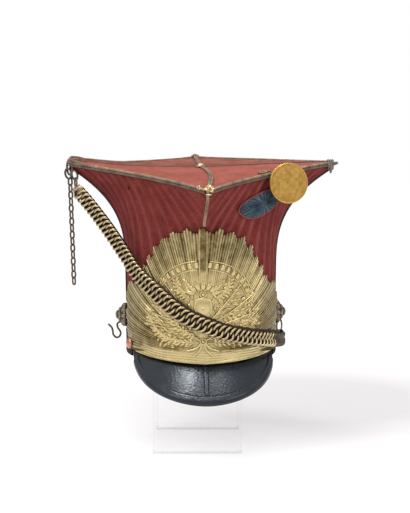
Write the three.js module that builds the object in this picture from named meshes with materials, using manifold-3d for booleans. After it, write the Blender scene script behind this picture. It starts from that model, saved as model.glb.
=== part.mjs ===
// Lancer cap with a square board top, resting on a clear acrylic stand.
// Millimetres, +Z up. The front of the cap faces -Y, the viewer's right is +X, and the origin lies
// on the floor under the middle of the cap. Angles round the cap start at the front and grow
// towards +X.

import * as THREE from "three";
import { mergeVertices } from "three/addons/utils/BufferGeometryUtils.js";
import Module from "manifold-3d";

const wasm = await Module();
wasm.setup();

const { lerp, clamp, smoothstep, degToRad } = THREE.MathUtils;
const QUARTER = Math.PI / 2;
const UP = new THREE.Vector3(0, 0, 1);
const FRONT = 0;
const RIGHT = QUARTER;
const BACK = 2 * QUARTER;
const LEFT = 3 * QUARTER;

// Driving dimensions

const GAP = 0.3; // clearance between pieces that touch

const RIM_Z = 105.5;
const RIM_HALF_WIDTH = 82.5;
const RIM_HALF_DEPTH = 101;
const WALL = 2.5;
const WAIST = 0.457; // share of the crown's height where the flare begins
const FLARE_POWER = 2.9;
const BODY_SWELL = 0.04; // share of the flare that is spread evenly over the height
const RIBS_PER_FACE = 10;
const RIB_HEIGHT = 0.9;
const RIB_START = 0.3; // share of the height where the ribs begin, and where they are full
const RIB_FULL = 0.38;
const SEAM_SHARE = 0.0015; // share of a panel's width left open at each corner seam

const BOARD_Z = RIM_Z + 209; // top of the board at its middle
const BOARD_REACH = 151; // middle to corner
const BOARD_POWER = 0.88; // under 1, so the sides bow inwards
const BOARD_TILT = 0.064;
const BOARD_SIDE_LIFT = 6.5;
const BOARD_FRONT_SAG = 10.5;
const BOARD_THICK = 5;
const CROWN_REACH = BOARD_REACH - 1.5;

const EDGE_CORD = { height: 5.4, thick: 2.6, drop: 2.3, end: 0.965, gap: 0.8 };
const TOP_CORD = { width: 4.6, thick: 2.2, from: 7, to: 136, bow: 4.5 };
const CORNER_CORD_GAP = 1;
const BOARD_TRIM_GAP = 1.6 * GAP;
const BUTTON_SIZE = 1.25; // the middle button against the front knot
const TOP_SEAM = { width: 1.8, thick: 1.2, from: 7, to: 138 };

const PLATE_TURN = degToRad(-1.5);
const PLATE_ARC_RADIUS = 95; // turns a length along the plate into an angle round the cap
const PLATE_HUB_Z = RIM_Z + 55; // height of the point that the rays start from
const PLATE_STAND_OFF = 3;
const PLATE_THICK = 1;
const RAY_COUNT = 25;
const RAY_SPREAD = degToRad(112); // angle from upright to the last ray on either side
const RAY_RELIEF = 1.1;
const RAY_NOTCH = 6;
const PLATE_FOOT = { rise: 8, angle: degToRad(61), power: 1.3, lift: 0.6 };
const RIVET = { angle: degToRad(-63.3), up: 15, radius: 6, height: 3.8 };

const PEAK = {
  reach: 34,
  drop: 34.5,
  bow: 0.1, // share of the drop that grows with the square of the distance from the root
  span: degToRad(67),
  power: 1.38,
  end: 0.94,
  sections: 24,
  deep: 2.2,
};
const BINDING = { width: 6.5, sections: 20, thick: 1, gap: 0.7 };

const BAND = { bottom: RIM_Z + 0.4, top: RIM_Z + 27, thick: 2, standOff: 0.55, from: degToRad(77.5) };

const CHIN = { strapWidth: 13.5, strapThick: 1.8, chainWidth: 14.5, chainThick: 3.4, chainDrop: 0.6 };
const CHIN_TIP_SHARE = 0.04; // share of the strap's length taken by the tan tip

const LINK = { length: 10.4, width: 7.6, wire: 0.85, sides: 10, wireSides: 5, pitch: 7.5 };
const HANGING_LINKS = 17;
const HANGING_LEAN = 0.03;

const CORNER_RING = { inset: 3, halfHeight: 8.5, halfWidth: 4.8, wire: 1, clear: 1.9 };

const BOSS_ANGLE = degToRad(93);
const BOSS_RADIUS = 12.5;
const BOSS_LOBES = 6;

const DISC = { radius: 22.2, x: 91.1, y: -69.5, up: 193.5, turn: degToRad(15) };

const STAND = { width: 99, depth: 129, wall: 3, x: -4, y: 0, turn: degToRad(-2.8) };

// Meshes

const rail = (count, from = 0, to = 1) =>
  Array.from({ length: count + 1 }, (_, i) => lerp(from, to, i / count));

function signedVolume(position, index) {
  const [a, b, c] = [new THREE.Vector3(), new THREE.Vector3(), new THREE.Vector3()];
  let six = 0;
  for (let i = 0; i < index.length; i += 3) {
    a.fromBufferAttribute(position, index[i]);
    b.fromBufferAttribute(position, index[i + 1]);
    c.fromBufferAttribute(position, index[i + 2]);
    six += a.dot(b.cross(c));
  }
  return six / 6;
}

// A closed geometry from points and triangles, without collapsed triangles and facing outwards.
function closedGeometry(points, triangles) {
  const loose = new THREE.BufferGeometry().setFromPoints(points);
  loose.setIndex(triangles.flat());
  const whole = mergeVertices(loose, 1e-3);
  const kept = [];
  for (let i = 0; i < whole.index.count; i += 3) {
    const [a, b, c] = whole.index.array.slice(i, i + 3);
    if (a !== b && b !== c && c !== a) kept.push(a, b, c);
  }
  if (signedVolume(whole.attributes.position, kept) < 0) kept.reverse();
  return whole.setIndex(kept);
}

// Triangles over a closed cross-section whose first points, as many as front, face its other points.
function endCap(section, front) {
  const triangles = [];
  let i = 0;
  let j = section.length - 1;
  while (i + 1 < front || j > front) {
    const ahead = i + 1 < front ? section[i + 1].distanceTo(section[j]) : Infinity;
    const behind = j > front ? section[i].distanceTo(section[j - 1]) : Infinity;
    triangles.push(ahead < behind ? [i, i + 1, j] : [i, j - 1, j]);
    if (ahead < behind) i++;
    else j--;
  }
  return triangles;
}

// Joins closed cross-sections of equal point count, and closes the two ends of an open run.
function loft(sections, closed, front = sections[0].length / 2) {
  const count = sections[0].length;
  const triangles = [];
  const quad = (a, b, c, d) => triangles.push([a, b, c], [a, c, d]);
  sections.forEach((_, s) => {
    const next = (s + 1) % sections.length;
    if (next === 0 && !closed) return;
    for (let i = 0; i < count; i++) {
      const j = (i + 1) % count;
      quad(s * count + i, s * count + j, next * count + j, next * count + i);
    }
  });
  if (!closed) {
    const last = (sections.length - 1) * count;
    endCap(sections[0], front).forEach(([a, b, c]) => triangles.push([c, b, a]));
    endCap(sections.at(-1), front).forEach((corners) => triangles.push(corners.map((i) => last + i)));
  }
  return closedGeometry(sections.flat(), triangles);
}

// A flat strip along a path, with its outer corners cut off. Each path point has its own face direction.
function strip(path, faces, width, thick) {
  const cut = 0.35 * Math.min(width, thick);
  const half = { across: width / 2, out: thick / 2 };
  const outline = [
    [-half.across, half.out - cut],
    [-half.across + cut, half.out],
    [half.across - cut, half.out],
    [half.across, half.out - cut],
    [half.across, -half.out],
    [-half.across, -half.out],
  ];
  const sections = path.map((point, i) => {
    const along = path[Math.min(i + 1, path.length - 1)].clone().sub(path[Math.max(i - 1, 0)]);
    const across = along.cross(faces[i]).normalize();
    return outline.map(([a, o]) => point.clone().addScaledVector(across, a).addScaledVector(faces[i], o));
  });
  return loft(sections, false);
}

function roundTube(points, radius, sides, steps) {
  const section = new THREE.Shape(new THREE.EllipseCurve(0, 0, radius, radius).getPoints(sides).slice(0, -1));
  const extrudePath = new THREE.CatmullRomCurve3(points);
  return new THREE.ExtrudeGeometry(section, { steps, extrudePath, bevelEnabled: false });
}

class OvalCurve extends THREE.Curve {
  constructor(centre, halfLong, halfShort) {
    super();
    Object.assign(this, { centre, halfLong, halfShort });
  }
  getPoint(t, target = new THREE.Vector3()) {
    const turn = 2 * Math.PI * t;
    target.copy(this.centre).addScaledVector(this.halfLong, Math.cos(turn));
    return target.addScaledVector(this.halfShort, Math.sin(turn));
  }
}

const wireRing = (centre, halfLong, halfShort, wire, sides, wireSides) =>
  new THREE.TubeGeometry(new OvalCurve(centre, halfLong, halfShort), sides, wire, wireSides, true);

function toSolid(geometry) {
  const bare = geometry.clone();
  bare.deleteAttribute("normal");
  bare.deleteAttribute("uv");
  const { attributes, index } = mergeVertices(bare, 1e-3);
  const triVerts = Uint32Array.from(index.array);
  return new wasm.Manifold(new wasm.Mesh({ numProp: 3, vertProperties: attributes.position.array, triVerts }));
}

function fuse(geometries) {
  const whole = geometries.map(toSolid).reduce((joined, solid) => joined.add(solid));
  const { vertProperties, triVerts } = whole.getMesh();
  const geometry = new THREE.BufferGeometry();
  geometry.setAttribute("position", new THREE.BufferAttribute(vertProperties, 3));
  return geometry.setIndex(new THREE.BufferAttribute(triVerts, 1));
}

// Turns a shape whose axis is +Y to stand at a point with its axis along a direction.
function seat(geometry, point, direction) {
  geometry.applyQuaternion(new THREE.Quaternion().setFromUnitVectors(new THREE.Vector3(0, 1, 0), direction));
  return geometry.translate(point.x, point.y, point.z);
}

const lathe = (profile, sides) =>
  new THREE.LatheGeometry(profile.map(([radius, height]) => new THREE.Vector2(radius, height)), sides);

// The cap's form

const around = (angle, radius, z) =>
  new THREE.Vector3(radius * Math.sin(angle), -radius * Math.cos(angle), z);

const ovalRadius = (angle, inset) =>
  1 / Math.hypot(Math.sin(angle) / (RIM_HALF_WIDTH - inset), Math.cos(angle) / (RIM_HALF_DEPTH - inset));

function boardRadius(angle, reach) {
  const side = Math.abs(Math.sin(angle)) ** BOARD_POWER + Math.abs(Math.cos(angle)) ** BOARD_POWER;
  return reach / side ** (1 / BOARD_POWER);
}

function boardTop(x, y) {
  const sag = BOARD_FRONT_SAG * (Math.max(0, -y) / BOARD_REACH) ** 2;
  return BOARD_Z + BOARD_TILT * y + BOARD_SIDE_LIFT * (x / BOARD_REACH) ** 2 - sag;
}

function crownTop(angle, inset) {
  const edge = around(angle, boardRadius(angle, CROWN_REACH - 2 * inset), 0);
  return boardTop(edge.x, edge.y) - BOARD_THICK - 2 * GAP;
}

// Share of the way from the oval rim to the square board at a share of the crown's height.
function flare(share) {
  const rise = clamp((share - WAIST) / (1 - WAIST), 0, 1) ** FLARE_POWER;
  return BODY_SWELL * share + (1 - BODY_SWELL) * rise;
}

const wallRadius = (angle, share, inset) =>
  lerp(ovalRadius(angle, inset), boardRadius(angle, CROWN_REACH - 2 * inset), flare(share));

function crownRadius(angle, z) {
  const share = clamp((z - RIM_Z) / (crownTop(angle, 0) - RIM_Z), 0, 1);
  return wallRadius(angle, share, 0);
}

// A point at a distance from the crown's outside, square to its upright profile.
function offCrown(angle, z, distance) {
  const step = 0.5;
  const slope = (crownRadius(angle, z + step) - crownRadius(angle, z - step)) / (2 * step);
  const out = distance / Math.hypot(1, slope);
  return around(angle, crownRadius(angle, z) + out, z - slope * out);
}

// A point of the crown's wall on one of its four faces. Faces are numbered from the front right one,
// "along" runs from one corner of the face to the next, and lines of equal "along" follow the ribs.
function facePoint(face, along, share, inset, swell) {
  const angle = face * QUARTER + lerp(along * QUARTER, Math.atan2(along, 1 - along), flare(share));
  const z = lerp(RIM_Z, crownTop(angle, inset), share);
  return around(angle, wallRadius(angle, share, inset) + swell, z);
}

// Crown and board

// One of the four panels that are sewn together under the corner cords.
function crownPanel(face) {
  const outside = [0, 0.3, 0.38, 0.54, 0.68, 0.79, 0.87, 0.94, 1];
  const inside = [1, 0.9, 0.79, 0.66, 0.5, 0];
  const sections = rail(2 * RIBS_PER_FACE, SEAM_SHARE, 1 - SEAM_SHARE).map((along, column) => {
    const crest = column % 2 ? RIB_HEIGHT : 0;
    const outer = outside.map((share) =>
      facePoint(face, along, share, 0, crest * smoothstep(share, RIB_START, RIB_FULL)),
    );
    return [...outer, ...inside.map((share) => facePoint(face, along, share, WALL, 0))];
  });
  return loft(sections, false, outside.length);
}

function board() {
  const columns = 10;
  const rings = [0, 0.35, 0.7, 1];
  const sections = [];
  for (let face = 0; face < 4; face++) {
    for (let column = 0; column < columns; column++) {
      const along = column / columns;
      const top = rings.map((share) => boardEdge(face, along).multiplyScalar(share));
      top.forEach((point) => point.setZ(boardTop(point.x, point.y)));
      const under = top.map((point) => point.clone().addScaledVector(UP, -BOARD_THICK)).reverse();
      sections.push([...top, ...under]);
    }
  }
  return loft(sections, true);
}

function boardEdge(face, along) {
  const angle = face * QUARTER + Math.atan2(along, 1 - along);
  const edge = around(angle, boardRadius(angle, BOARD_REACH), 0);
  return edge.setZ(boardTop(edge.x, edge.y));
}

function edgeCord(face) {
  const shares = rail(8, 1 - EDGE_CORD.end, EDGE_CORD.end);
  const step = 0.01;
  const faces = shares.map((along) => {
    const tangent = boardEdge(face, along + step).sub(boardEdge(face, along - step));
    return tangent.setZ(0).cross(UP).normalize();
  });
  const path = shares.map((along, i) =>
    boardEdge(face, along)
      .addScaledVector(UP, -EDGE_CORD.drop)
      .addScaledVector(faces[i], EDGE_CORD.gap + EDGE_CORD.thick / 2),
  );
  return strip(path, faces, EDGE_CORD.height, EDGE_CORD.thick);
}

// A strip that lies on the board along one of its diagonals, bowed sideways in the middle.
function boardStrip(angle, { width, thick, from, to, bow = 0 }) {
  const side = around(angle + QUARTER, bow, 0);
  const path = rail(8).map((share) => {
    const point = around(angle, lerp(from, to, share), 0);
    point.addScaledVector(side, Math.sin(Math.PI * share));
    point.z = boardTop(point.x, point.y) + BOARD_TRIM_GAP + thick / 2;
    return point;
  });
  return strip(path, path.map(() => UP), width, thick);
}

function cornerCord(angle, bottom, radius, gap = CORNER_CORD_GAP) {
  const start = crownTop(angle, 0) - 4;
  const points = rail(12, start, bottom).map((z) => offCrown(angle, z, gap + radius));
  return roundTube(points, radius, 5, 11);
}

function boardButton(distance, size = 1) {
  const dome = [[0, 0], [4.4, 0], [4.4, 1], [3.6, 2.6], [2, 3.6], [0, 4]];
  const profile = dome.map(([radius, height]) => [radius * size, height]);
  const step = 1;
  const fall = (boardTop(0, step - distance) - boardTop(0, -step - distance)) / (2 * step);
  const foot = new THREE.Vector3(0, -distance, boardTop(0, -distance) + 2 * GAP);
  return seat(lathe(profile, 12), foot, new THREE.Vector3(0, -fall, 1).normalize());
}

function cornerRing(side) {
  const x = side * (BOARD_REACH - CORNER_RING.inset);
  const top = boardTop(x, 0) + CORNER_RING.wire + CORNER_RING.clear;
  const centre = new THREE.Vector3(x, 0, top - CORNER_RING.halfHeight);
  const tall = new THREE.Vector3(0, 0, CORNER_RING.halfHeight);
  const wide = new THREE.Vector3(0, CORNER_RING.halfWidth, 0);
  return wireRing(centre, tall, wide, CORNER_RING.wire, 12, 5);
}

// Front plate. Places on it are lengths along and up from the hub of the rays.

const platePoint = (along, up, distance) =>
  offCrown(PLATE_TURN + along / PLATE_ARC_RADIUS, PLATE_HUB_Z + up, distance);

const plateFoot = (angle) =>
  RIM_Z + PLATE_FOOT.lift + PLATE_FOOT.rise * Math.abs(angle / PLATE_FOOT.angle) ** PLATE_FOOT.power;

function rayLength(turn) {
  const side = Math.abs(turn);
  const shoulder = 7 * smoothstep(side, degToRad(15), degToRad(50));
  const wing = 34 * smoothstep(side, degToRad(63), degToRad(82));
  const full = 95 - shoulder + wing;
  if (side < degToRad(95)) return full;
  let length = full;
  for (let tries = 0; tries < 12; tries++) {
    const foot = plateFoot(PLATE_TURN + (length * Math.sin(turn)) / PLATE_ARC_RADIUS) - PLATE_HUB_Z;
    length = Math.min(full, lerp(length, (foot + GAP) / Math.cos(turn), 0.7));
  }
  return length;
}

function sunburst() {
  const step = (2 * RAY_SPREAD) / (RAY_COUNT - 1);
  const ridge = [0, 1];
  const columns = [];
  for (let ray = 0; ray < RAY_COUNT; ray++) {
    ridge.forEach((height, part) => {
      columns.push({ turn: -RAY_SPREAD + (ray - 0.5 + part / ridge.length) * step, height });
    });
  }
  const last = RAY_SPREAD + step / 2;
  rail(10, last, 2 * Math.PI - last).slice(0, -1).forEach((turn) => columns.push({ turn, height: 0 }));
  const front = [0, 0.18, 0.36, 0.54, 0.76, 1];
  const back = [1, 0.8, 0.6, 0.4, 0.2, 0];
  const sections = columns.map(({ turn, height }) => {
    const upright = Math.atan2(Math.sin(turn), Math.cos(turn));
    const fullLength = rayLength(upright);
    const length = Math.abs(upright) < last - 1e-6 ? fullLength - RAY_NOTCH * (1 - height) : fullLength;
    const place = (share, distance) =>
      platePoint(share * length * Math.sin(turn), share * length * Math.cos(turn), distance);
    const face = PLATE_STAND_OFF + PLATE_THICK;
    return [
      ...front.map((share) => place(share, face + RAY_RELIEF * height * smoothstep(share, 0.36, 0.54))),
      ...back.map((share) => place(share, PLATE_STAND_OFF)),
    ];
  });
  return loft(sections, true);
}

// A raised oval on the plate, sunk a little into it.
function plateDome({ along, up, long, wide, turn = 0, height, sides, shoulder = 0 }) {
  const face = PLATE_STAND_OFF + PLATE_THICK;
  const rings = [
    { share: 0, distance: face - 0.8 },
    { share: 1, distance: face - 0.8 },
    ...(shoulder ? [{ share: shoulder, distance: face + 0.75 * height }] : []),
    { share: 0, distance: face + height },
  ];
  const sections = rail(sides).slice(0, -1).map((part) => {
    const a = long * Math.cos(2 * Math.PI * part);
    const b = wide * Math.sin(2 * Math.PI * part);
    const across = a * Math.sin(turn) + b * Math.cos(turn);
    const upwards = a * Math.cos(turn) - b * Math.sin(turn);
    return rings.map(({ share, distance }) => platePoint(along + share * across, up + share * upwards, distance));
  });
  return loft(sections, true);
}

// Leaves of one branch that curves up from the knot at the plate's foot.
function branch(side) {
  const leaves = [];
  for (let leaf = 0; leaf < 4; leaf++) {
    const share = leaf / 3;
    const along = side * lerp(7, 43, Math.sin(QUARTER * share));
    const up = lerp(-26, 30, share ** 1.4);
    const lean = side * lerp(degToRad(75), degToRad(5), share);
    for (const spread of [-0.55, 0.55]) {
      const turn = lean + spread;
      const reach = 7;
      leaves.push(
        plateDome({
          along: along + reach * Math.sin(turn),
          up: up + reach * Math.cos(turn),
          long: 9.5,
          wide: 3.6,
          turn,
          height: 1.2,
          sides: 4,
        }),
      );
    }
  }
  return leaves;
}

function frontPlate() {
  const beadArc = 53;
  const beads = rail(6, degToRad(-40), degToRad(40)).map((turn) =>
    plateDome({
      along: beadArc * Math.sin(turn),
      up: beadArc * Math.cos(turn),
      long: 2.4,
      wide: 2.4,
      height: 1,
      sides: 4,
    }),
  );
  const shield = { along: 0, up: 25, long: 17, wide: 13, height: 2, sides: 12, shoulder: 0.75 };
  const knot = { along: 0, up: -27, long: 5, wide: 8, height: 1.4, sides: 8 };
  const bar = { along: 0, up: 72, long: 22, wide: 3.5, height: 1.2, sides: 8 };
  return fuse([
    sunburst(),
    ...[shield, knot, bar].map(plateDome),
    ...beads,
    ...branch(-1),
    ...branch(1),
  ]);
}

function plateRivet() {
  const { angle, up, radius, height } = RIVET;
  const dome = [[0, 0], [1, 0], [1, 0.25], [0.76, 0.69], [0.4, 0.94], [0, 1]];
  const foot = offCrown(angle, RIM_Z + up, PLATE_STAND_OFF + PLATE_THICK + RAY_RELIEF + GAP);
  return seat(lathe(dome.map(([r, h]) => [radius * r, height * h]), 12), foot, around(angle, 1, 0));
}

// Peak and head band

const peakShare = (across) => Math.cos(across * QUARTER) ** PEAK.power;

function peakPoint(across, out) {
  const angle = across * PEAK.span;
  const root = plateFoot(angle) - 2 * GAP;
  const reach = PEAK.reach * peakShare(across);
  const drop = PEAK.drop * peakShare(across);
  const fall = drop * lerp(out, out ** 2, PEAK.bow);
  return around(angle, crownRadius(angle, root) + 0.5 + reach * out, root - fall);
}

function peak() {
  const rows = rail(3);
  const sections = rail(PEAK.sections, -PEAK.end, PEAK.end).map((across) => {
    const top = rows.map((out) => peakPoint(across, out));
    const under = top.map((point) => point.clone().addScaledVector(UP, -PEAK.deep)).reverse();
    return [...top, ...under];
  });
  return loft(sections, false);
}

// Folded edge of the peak: a channel that closes over its rim, drawn along the slope and upright.
function peakBinding() {
  const end = (PEAK.end * BINDING.sections) / PEAK.sections;
  const sections = rail(BINDING.sections, -end, end).map((across) => {
    const edge = peakPoint(across, 1);
    const inner = peakPoint(across, 0);
    const slope = edge.clone().sub(peakPoint(across, 0.9)).normalize();
    const leg = -Math.min(BINDING.width, 0.75 * edge.distanceTo(inner));
    const { gap, thick } = BINDING;
    const low = -PEAK.deep - gap;
    const round = 0.4 * thick;
    const outside = [[leg, gap + thick], [gap + thick, gap + round], [gap + thick, low - round], [leg, low - thick]];
    const inside = [[leg, low], [gap, low], [gap, gap], [leg, gap]];
    return [...outside, ...inside].map(([along, up]) =>
      edge.clone().addScaledVector(slope, along).addScaledVector(UP, up),
    );
  });
  return loft(sections, false);
}

function peakSeam() {
  const path = rail(4, 0.08, 0.8).map((out) => peakPoint(0, out));
  const slope = path.at(-1).clone().sub(path[0]).normalize();
  const out = new THREE.Vector3(1, 0, 0).cross(slope).negate();
  path.forEach((point) => point.addScaledVector(out, GAP + 0.5));
  return strip(path, path.map(() => out), 3.4, 0.9);
}

function headBand() {
  const sections = rail(28, BAND.from, 2 * Math.PI - BAND.from).map((angle) => {
    const at = (z, distance) => around(angle, crownRadius(angle, z) + distance, z);
    const outside = BAND.standOff + BAND.thick;
    return [
      at(BAND.bottom, outside),
      at(BAND.top, outside),
      at(BAND.top, BAND.standOff),
      at(BAND.bottom, BAND.standOff),
    ];
  });
  return loft(sections, false);
}

// Side bosses and hooks

function boss(angle, z) {
  const profile = [
    [0, 0], [BOSS_RADIUS, 0], [BOSS_RADIUS, 1.6], [11, 4], [8.6, 5.8], [7, 7], [6.2, 10], [3.4, 11.8], [0, 12.4],
  ];
  const shape = lathe(profile, 2 * BOSS_LOBES);
  const places = shape.attributes.position;
  for (let i = 0; i < places.count; i++) {
    const radius = Math.hypot(places.getX(i), places.getZ(i));
    const lobe = radius > 8 ? 1 - 0.07 * (1 - Math.cos(BOSS_LOBES * Math.atan2(places.getX(i), places.getZ(i)))) : 1;
    places.setXYZ(i, places.getX(i) * lobe, places.getY(i), places.getZ(i) * lobe);
  }
  const out = around(angle, 1, 0);
  return seat(shape, around(angle, crownRadius(angle, z) + 0.6, z), out);
}

function sideHook() {
  const bends = [
    { x: -90.9, up: 33.6 },
    { x: -95, up: 31.6 },
    { x: -95, up: 26.5 },
    { x: -92, up: 22 },
    { x: -92, up: 18 },
    { x: -95.5, up: 15 },
    { x: -99.5, up: 17.5 },
    { x: -101.5, up: 26 },
    { x: -105, up: 30 },
  ];
  return roundTube(bends.map(({ x, up }) => new THREE.Vector3(x, 4.5, RIM_Z + up)), 1, 6, 16);
}

function strapRing() {
  const centre = new THREE.Vector3(90.2, 3, RIM_Z + 27.4);
  const tall = new THREE.Vector3(0, 0, 8);
  const wide = new THREE.Vector3(0, 5, 0);
  return wireRing(centre, tall, wide, 1, 12, 5);
}

// Chin strap and its curb chain. The table gives the strap's way from the left corner round the
// front to the right boss: angle round the cap, height over the rim, and distance from the wall.

const CHIN_ROUTE = [
  { angle: -87.2, up: 188.6, away: 26.4 },
  { angle: -81.5, up: 168, away: 28 },
  { angle: -74.5, up: 150.5, away: 24 },
  { angle: -66, up: 131.5, away: 17 },
  { angle: -56.5, up: 113.5, away: 10.6 },
  { angle: -46.5, up: 98, away: 7.4 },
  { angle: -35, up: 85.5, away: 6.9 },
  { angle: -21, up: 70, away: 6.8 },
  { angle: -12, up: 59, away: 6.8 },
  { angle: -0.5, up: 48.5, away: 6.8 },
  { angle: 11, up: 39.5, away: 6.8 },
  { angle: 27.5, up: 30.5, away: 6.8 },
  { angle: 41.5, up: 26, away: 6.8 },
  { angle: 58, up: 21.5, away: 6.8 },
  { angle: 72, up: 18.5, away: 6.8 },
  { angle: 86, up: 16.5, away: 6.8 },
].map(({ angle, up, away }) => {
  const turn = degToRad(angle);
  return around(turn, crownRadius(turn, RIM_Z + up) + away, RIM_Z + up);
});

// A strip along part of the route, moved out from the cap and down its own width.
function chinStrip({ from, to, steps, out, down, width, thick }) {
  const curve = new THREE.CatmullRomCurve3(CHIN_ROUTE);
  const shares = rail(steps, from, to);
  const faces = shares.map((share) => curve.getTangentAt(share).cross(UP).normalize());
  const path = shares.map((share, i) => {
    const across = curve.getTangentAt(share).cross(faces[i]).normalize();
    return curve.getPointAt(share).addScaledVector(faces[i], out).addScaledVector(across, down);
  });
  return strip(path, faces, width, thick);
}

const CHIN_SPAN = { from: CHIN_TIP_SHARE + 0.002, to: 1, steps: 27 };

const chinStrap = () =>
  chinStrip({ ...CHIN_SPAN, out: 0, down: 0, width: CHIN.strapWidth, thick: CHIN.strapThick });

const chinChain = () =>
  chinStrip({
    ...CHIN_SPAN,
    out: (CHIN.strapThick + CHIN.chainThick) / 2 + 2.5 * GAP,
    down: CHIN.chainDrop,
    width: CHIN.chainWidth,
    thick: CHIN.chainThick,
  });

const strapTip = () =>
  chinStrip({ from: 0, to: CHIN_TIP_SHARE, steps: 4, out: 0, down: 0, width: 10, thick: CHIN.strapThick });

// A run of interlocked oval links from a first link's top, each turned a quarter from the last.
function linkRun(top, direction, count, firstSide) {
  const along = direction.clone().normalize();
  const sides = [firstSide.clone().normalize()];
  sides.push(along.clone().cross(sides[0]).normalize());
  const halfLong = along.clone().multiplyScalar(LINK.length / 2 - LINK.wire);
  const links = Array.from({ length: count }, (_, i) => {
    const centre = top.clone().addScaledVector(along, LINK.length / 2 + i * LINK.pitch);
    const halfShort = sides[i % 2].clone().multiplyScalar(LINK.width / 2 - LINK.wire);
    return wireRing(centre, halfLong, halfShort, LINK.wire, LINK.sides, LINK.wireSides);
  });
  return fuse(links);
}

const cornerRingFoot = () => {
  const x = CORNER_RING.inset - BOARD_REACH;
  const top = boardTop(x, 0) + CORNER_RING.wire + CORNER_RING.clear;
  return new THREE.Vector3(x, 0, top - 2 * CORNER_RING.halfHeight);
};

function hangingChain() {
  const hold = cornerRingFoot();
  const rise = CORNER_RING.wire + 5 * GAP + 2 * LINK.wire;
  const top = new THREE.Vector3(hold.x, 1.5, hold.z + rise);
  return linkRun(top, new THREE.Vector3(HANGING_LEAN, 0, -1), HANGING_LINKS, new THREE.Vector3(1, 0, 0));
}

function strapLinks() {
  const hold = cornerRingFoot();
  const rise = CORNER_RING.wire + 5 * GAP + 2 * LINK.wire;
  const top = new THREE.Vector3(hold.x - 1.2, -0.75, hold.z + rise);
  return linkRun(top, CHIN_ROUTE[0].clone().sub(top), 2, new THREE.Vector3(1, 0, 0));
}

// Cockade and disc

function cockade() {
  const centre = { along: 0.46, share: 0.868 };
  const long = { along: 0.19, share: 0.038 };
  const short = { along: -0.075, share: 0.05 };
  const face = 0;
  const place = (a, b, distance) => {
    const along = centre.along + a * long.along + b * short.along;
    const share = centre.share + a * long.share + b * short.share;
    const step = 0.01;
    const point = facePoint(face, along, share, 0, 0);
    const sideways = facePoint(face, along + step, share, 0, 0).sub(point);
    const upwards = facePoint(face, along, share + step, 0, 0).sub(point);
    return point.addScaledVector(sideways.cross(upwards).normalize(), distance);
  };
  const pleats = 12;
  const back = RIB_HEIGHT + 2 * GAP;
  const sections = rail(2 * pleats).slice(0, -1).map((part, i) => {
    const fold = i % 2;
    const [a, b] = [Math.cos(2 * Math.PI * part), Math.sin(2 * Math.PI * part)];
    const rim = fold ? 1 : 0.95;
    return [
      place(0, 0, back + 2.6),
      place(0.5 * a, 0.5 * b, back + 2.2 + 0.5 * fold),
      place(rim * a, rim * b, back + 1.2 + 0.5 * fold),
      place(rim * a, rim * b, back),
      place(0.5 * a, 0.5 * b, back),
      place(0, 0, back),
    ];
  });
  return loft(sections, true);
}

const discCentre = new THREE.Vector3(DISC.x, DISC.y, RIM_Z + DISC.up);
const discFace = around(DISC.turn, 1, 0);

function pomponDisc() {
  const r = DISC.radius;
  const profile = [[0, 0], [r - 1, 0], [r, 1], [r, 3.4], [r - 0.7, 4.4], [r - 2.2, 4.6], [r - 3, 4.2], [0, 5.4]];
  return seat(lathe(profile, 22), discCentre, discFace);
}

function discStem() {
  const inward = around(QUARTER / 2, -1, 0);
  const start = discCentre.clone().addScaledVector(discFace, -1.4);
  const angle = Math.atan2(start.x, -start.y);
  const wall = crownRadius(angle, start.z) + RIB_HEIGHT + GAP;
  const length = (Math.hypot(start.x, start.y) - wall) * Math.cos(angle - QUARTER / 2) - GAP;
  return seat(lathe([[0, 0], [2, 0], [2, length], [0, length]], 8), start, inward);
}

// Stand: a loop of clear sheet whose top slopes with the underside of the board

function standLoop() {
  const front = STAND.y - STAND.depth / 2;
  const rear = STAND.y + STAND.depth / 2;
  const under = (y) => boardTop(0, y) - BOARD_THICK - 2 * GAP;
  const height = under(front);
  const half = STAND.width / 2;
  const corners = (grow, low, high) => [
    new THREE.Vector2(-half + grow, low),
    new THREE.Vector2(half - grow, low),
    new THREE.Vector2(half - grow, high),
    new THREE.Vector2(-half + grow, high),
  ];
  const frame = new THREE.Shape(corners(0, 0, height));
  frame.holes.push(new THREE.Path(corners(STAND.wall, STAND.wall, height - STAND.wall)));
  const loop = new THREE.ExtrudeGeometry(frame, { depth: STAND.depth, bevelEnabled: false });
  loop.rotateX(QUARTER).translate(0, STAND.depth / 2, 0);
  const places = loop.attributes.position;
  for (let i = 0; i < places.count; i++) {
    const climb = (under(rear) - under(front)) * (places.getY(i) / STAND.depth + 0.5);
    if (places.getZ(i) > height / 2) places.setZ(i, places.getZ(i) + climb);
  }
  return loop.rotateZ(STAND.turn).translate(STAND.x, STAND.y, 0);
}

// Assembly

const FINISHES = {
  cloth: { color: 0x7d2a25, roughness: 0.95, metalness: 0 },
  board_cloth: { color: 0xa8463c, roughness: 0.95, metalness: 0 },
  cord: { color: 0x8a6f42, roughness: 0.6, metalness: 0.4 },
  piping: { color: 0x1d1a20, roughness: 0.8, metalness: 0 },
  gilt: { color: 0xb98f45, roughness: 0.4, metalness: 1 },
  brass: { color: 0xbfa562, roughness: 0.35, metalness: 1 },
  bronze: { color: 0x6e5a38, roughness: 0.45, metalness: 1 },
  copper: { color: 0xb5693f, roughness: 0.35, metalness: 1 },
  leather: { color: 0x17171a, roughness: 0.45, metalness: 0 },
  tan_leather: { color: 0xb98a72, roughness: 0.7, metalness: 0 },
  ribbon: { color: 0x1b2433, roughness: 0.8, metalness: 0 },
  acrylic: { color: 0xf2f6f8, roughness: 0.05, metalness: 0 },
};

const cap = new THREE.Group();

function add(name, finish, geometry) {
  const mesh = new THREE.Mesh(geometry, new THREE.MeshStandardMaterial(FINISHES[finish]));
  mesh.name = name;
  cap.add(mesh);
}

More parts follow.
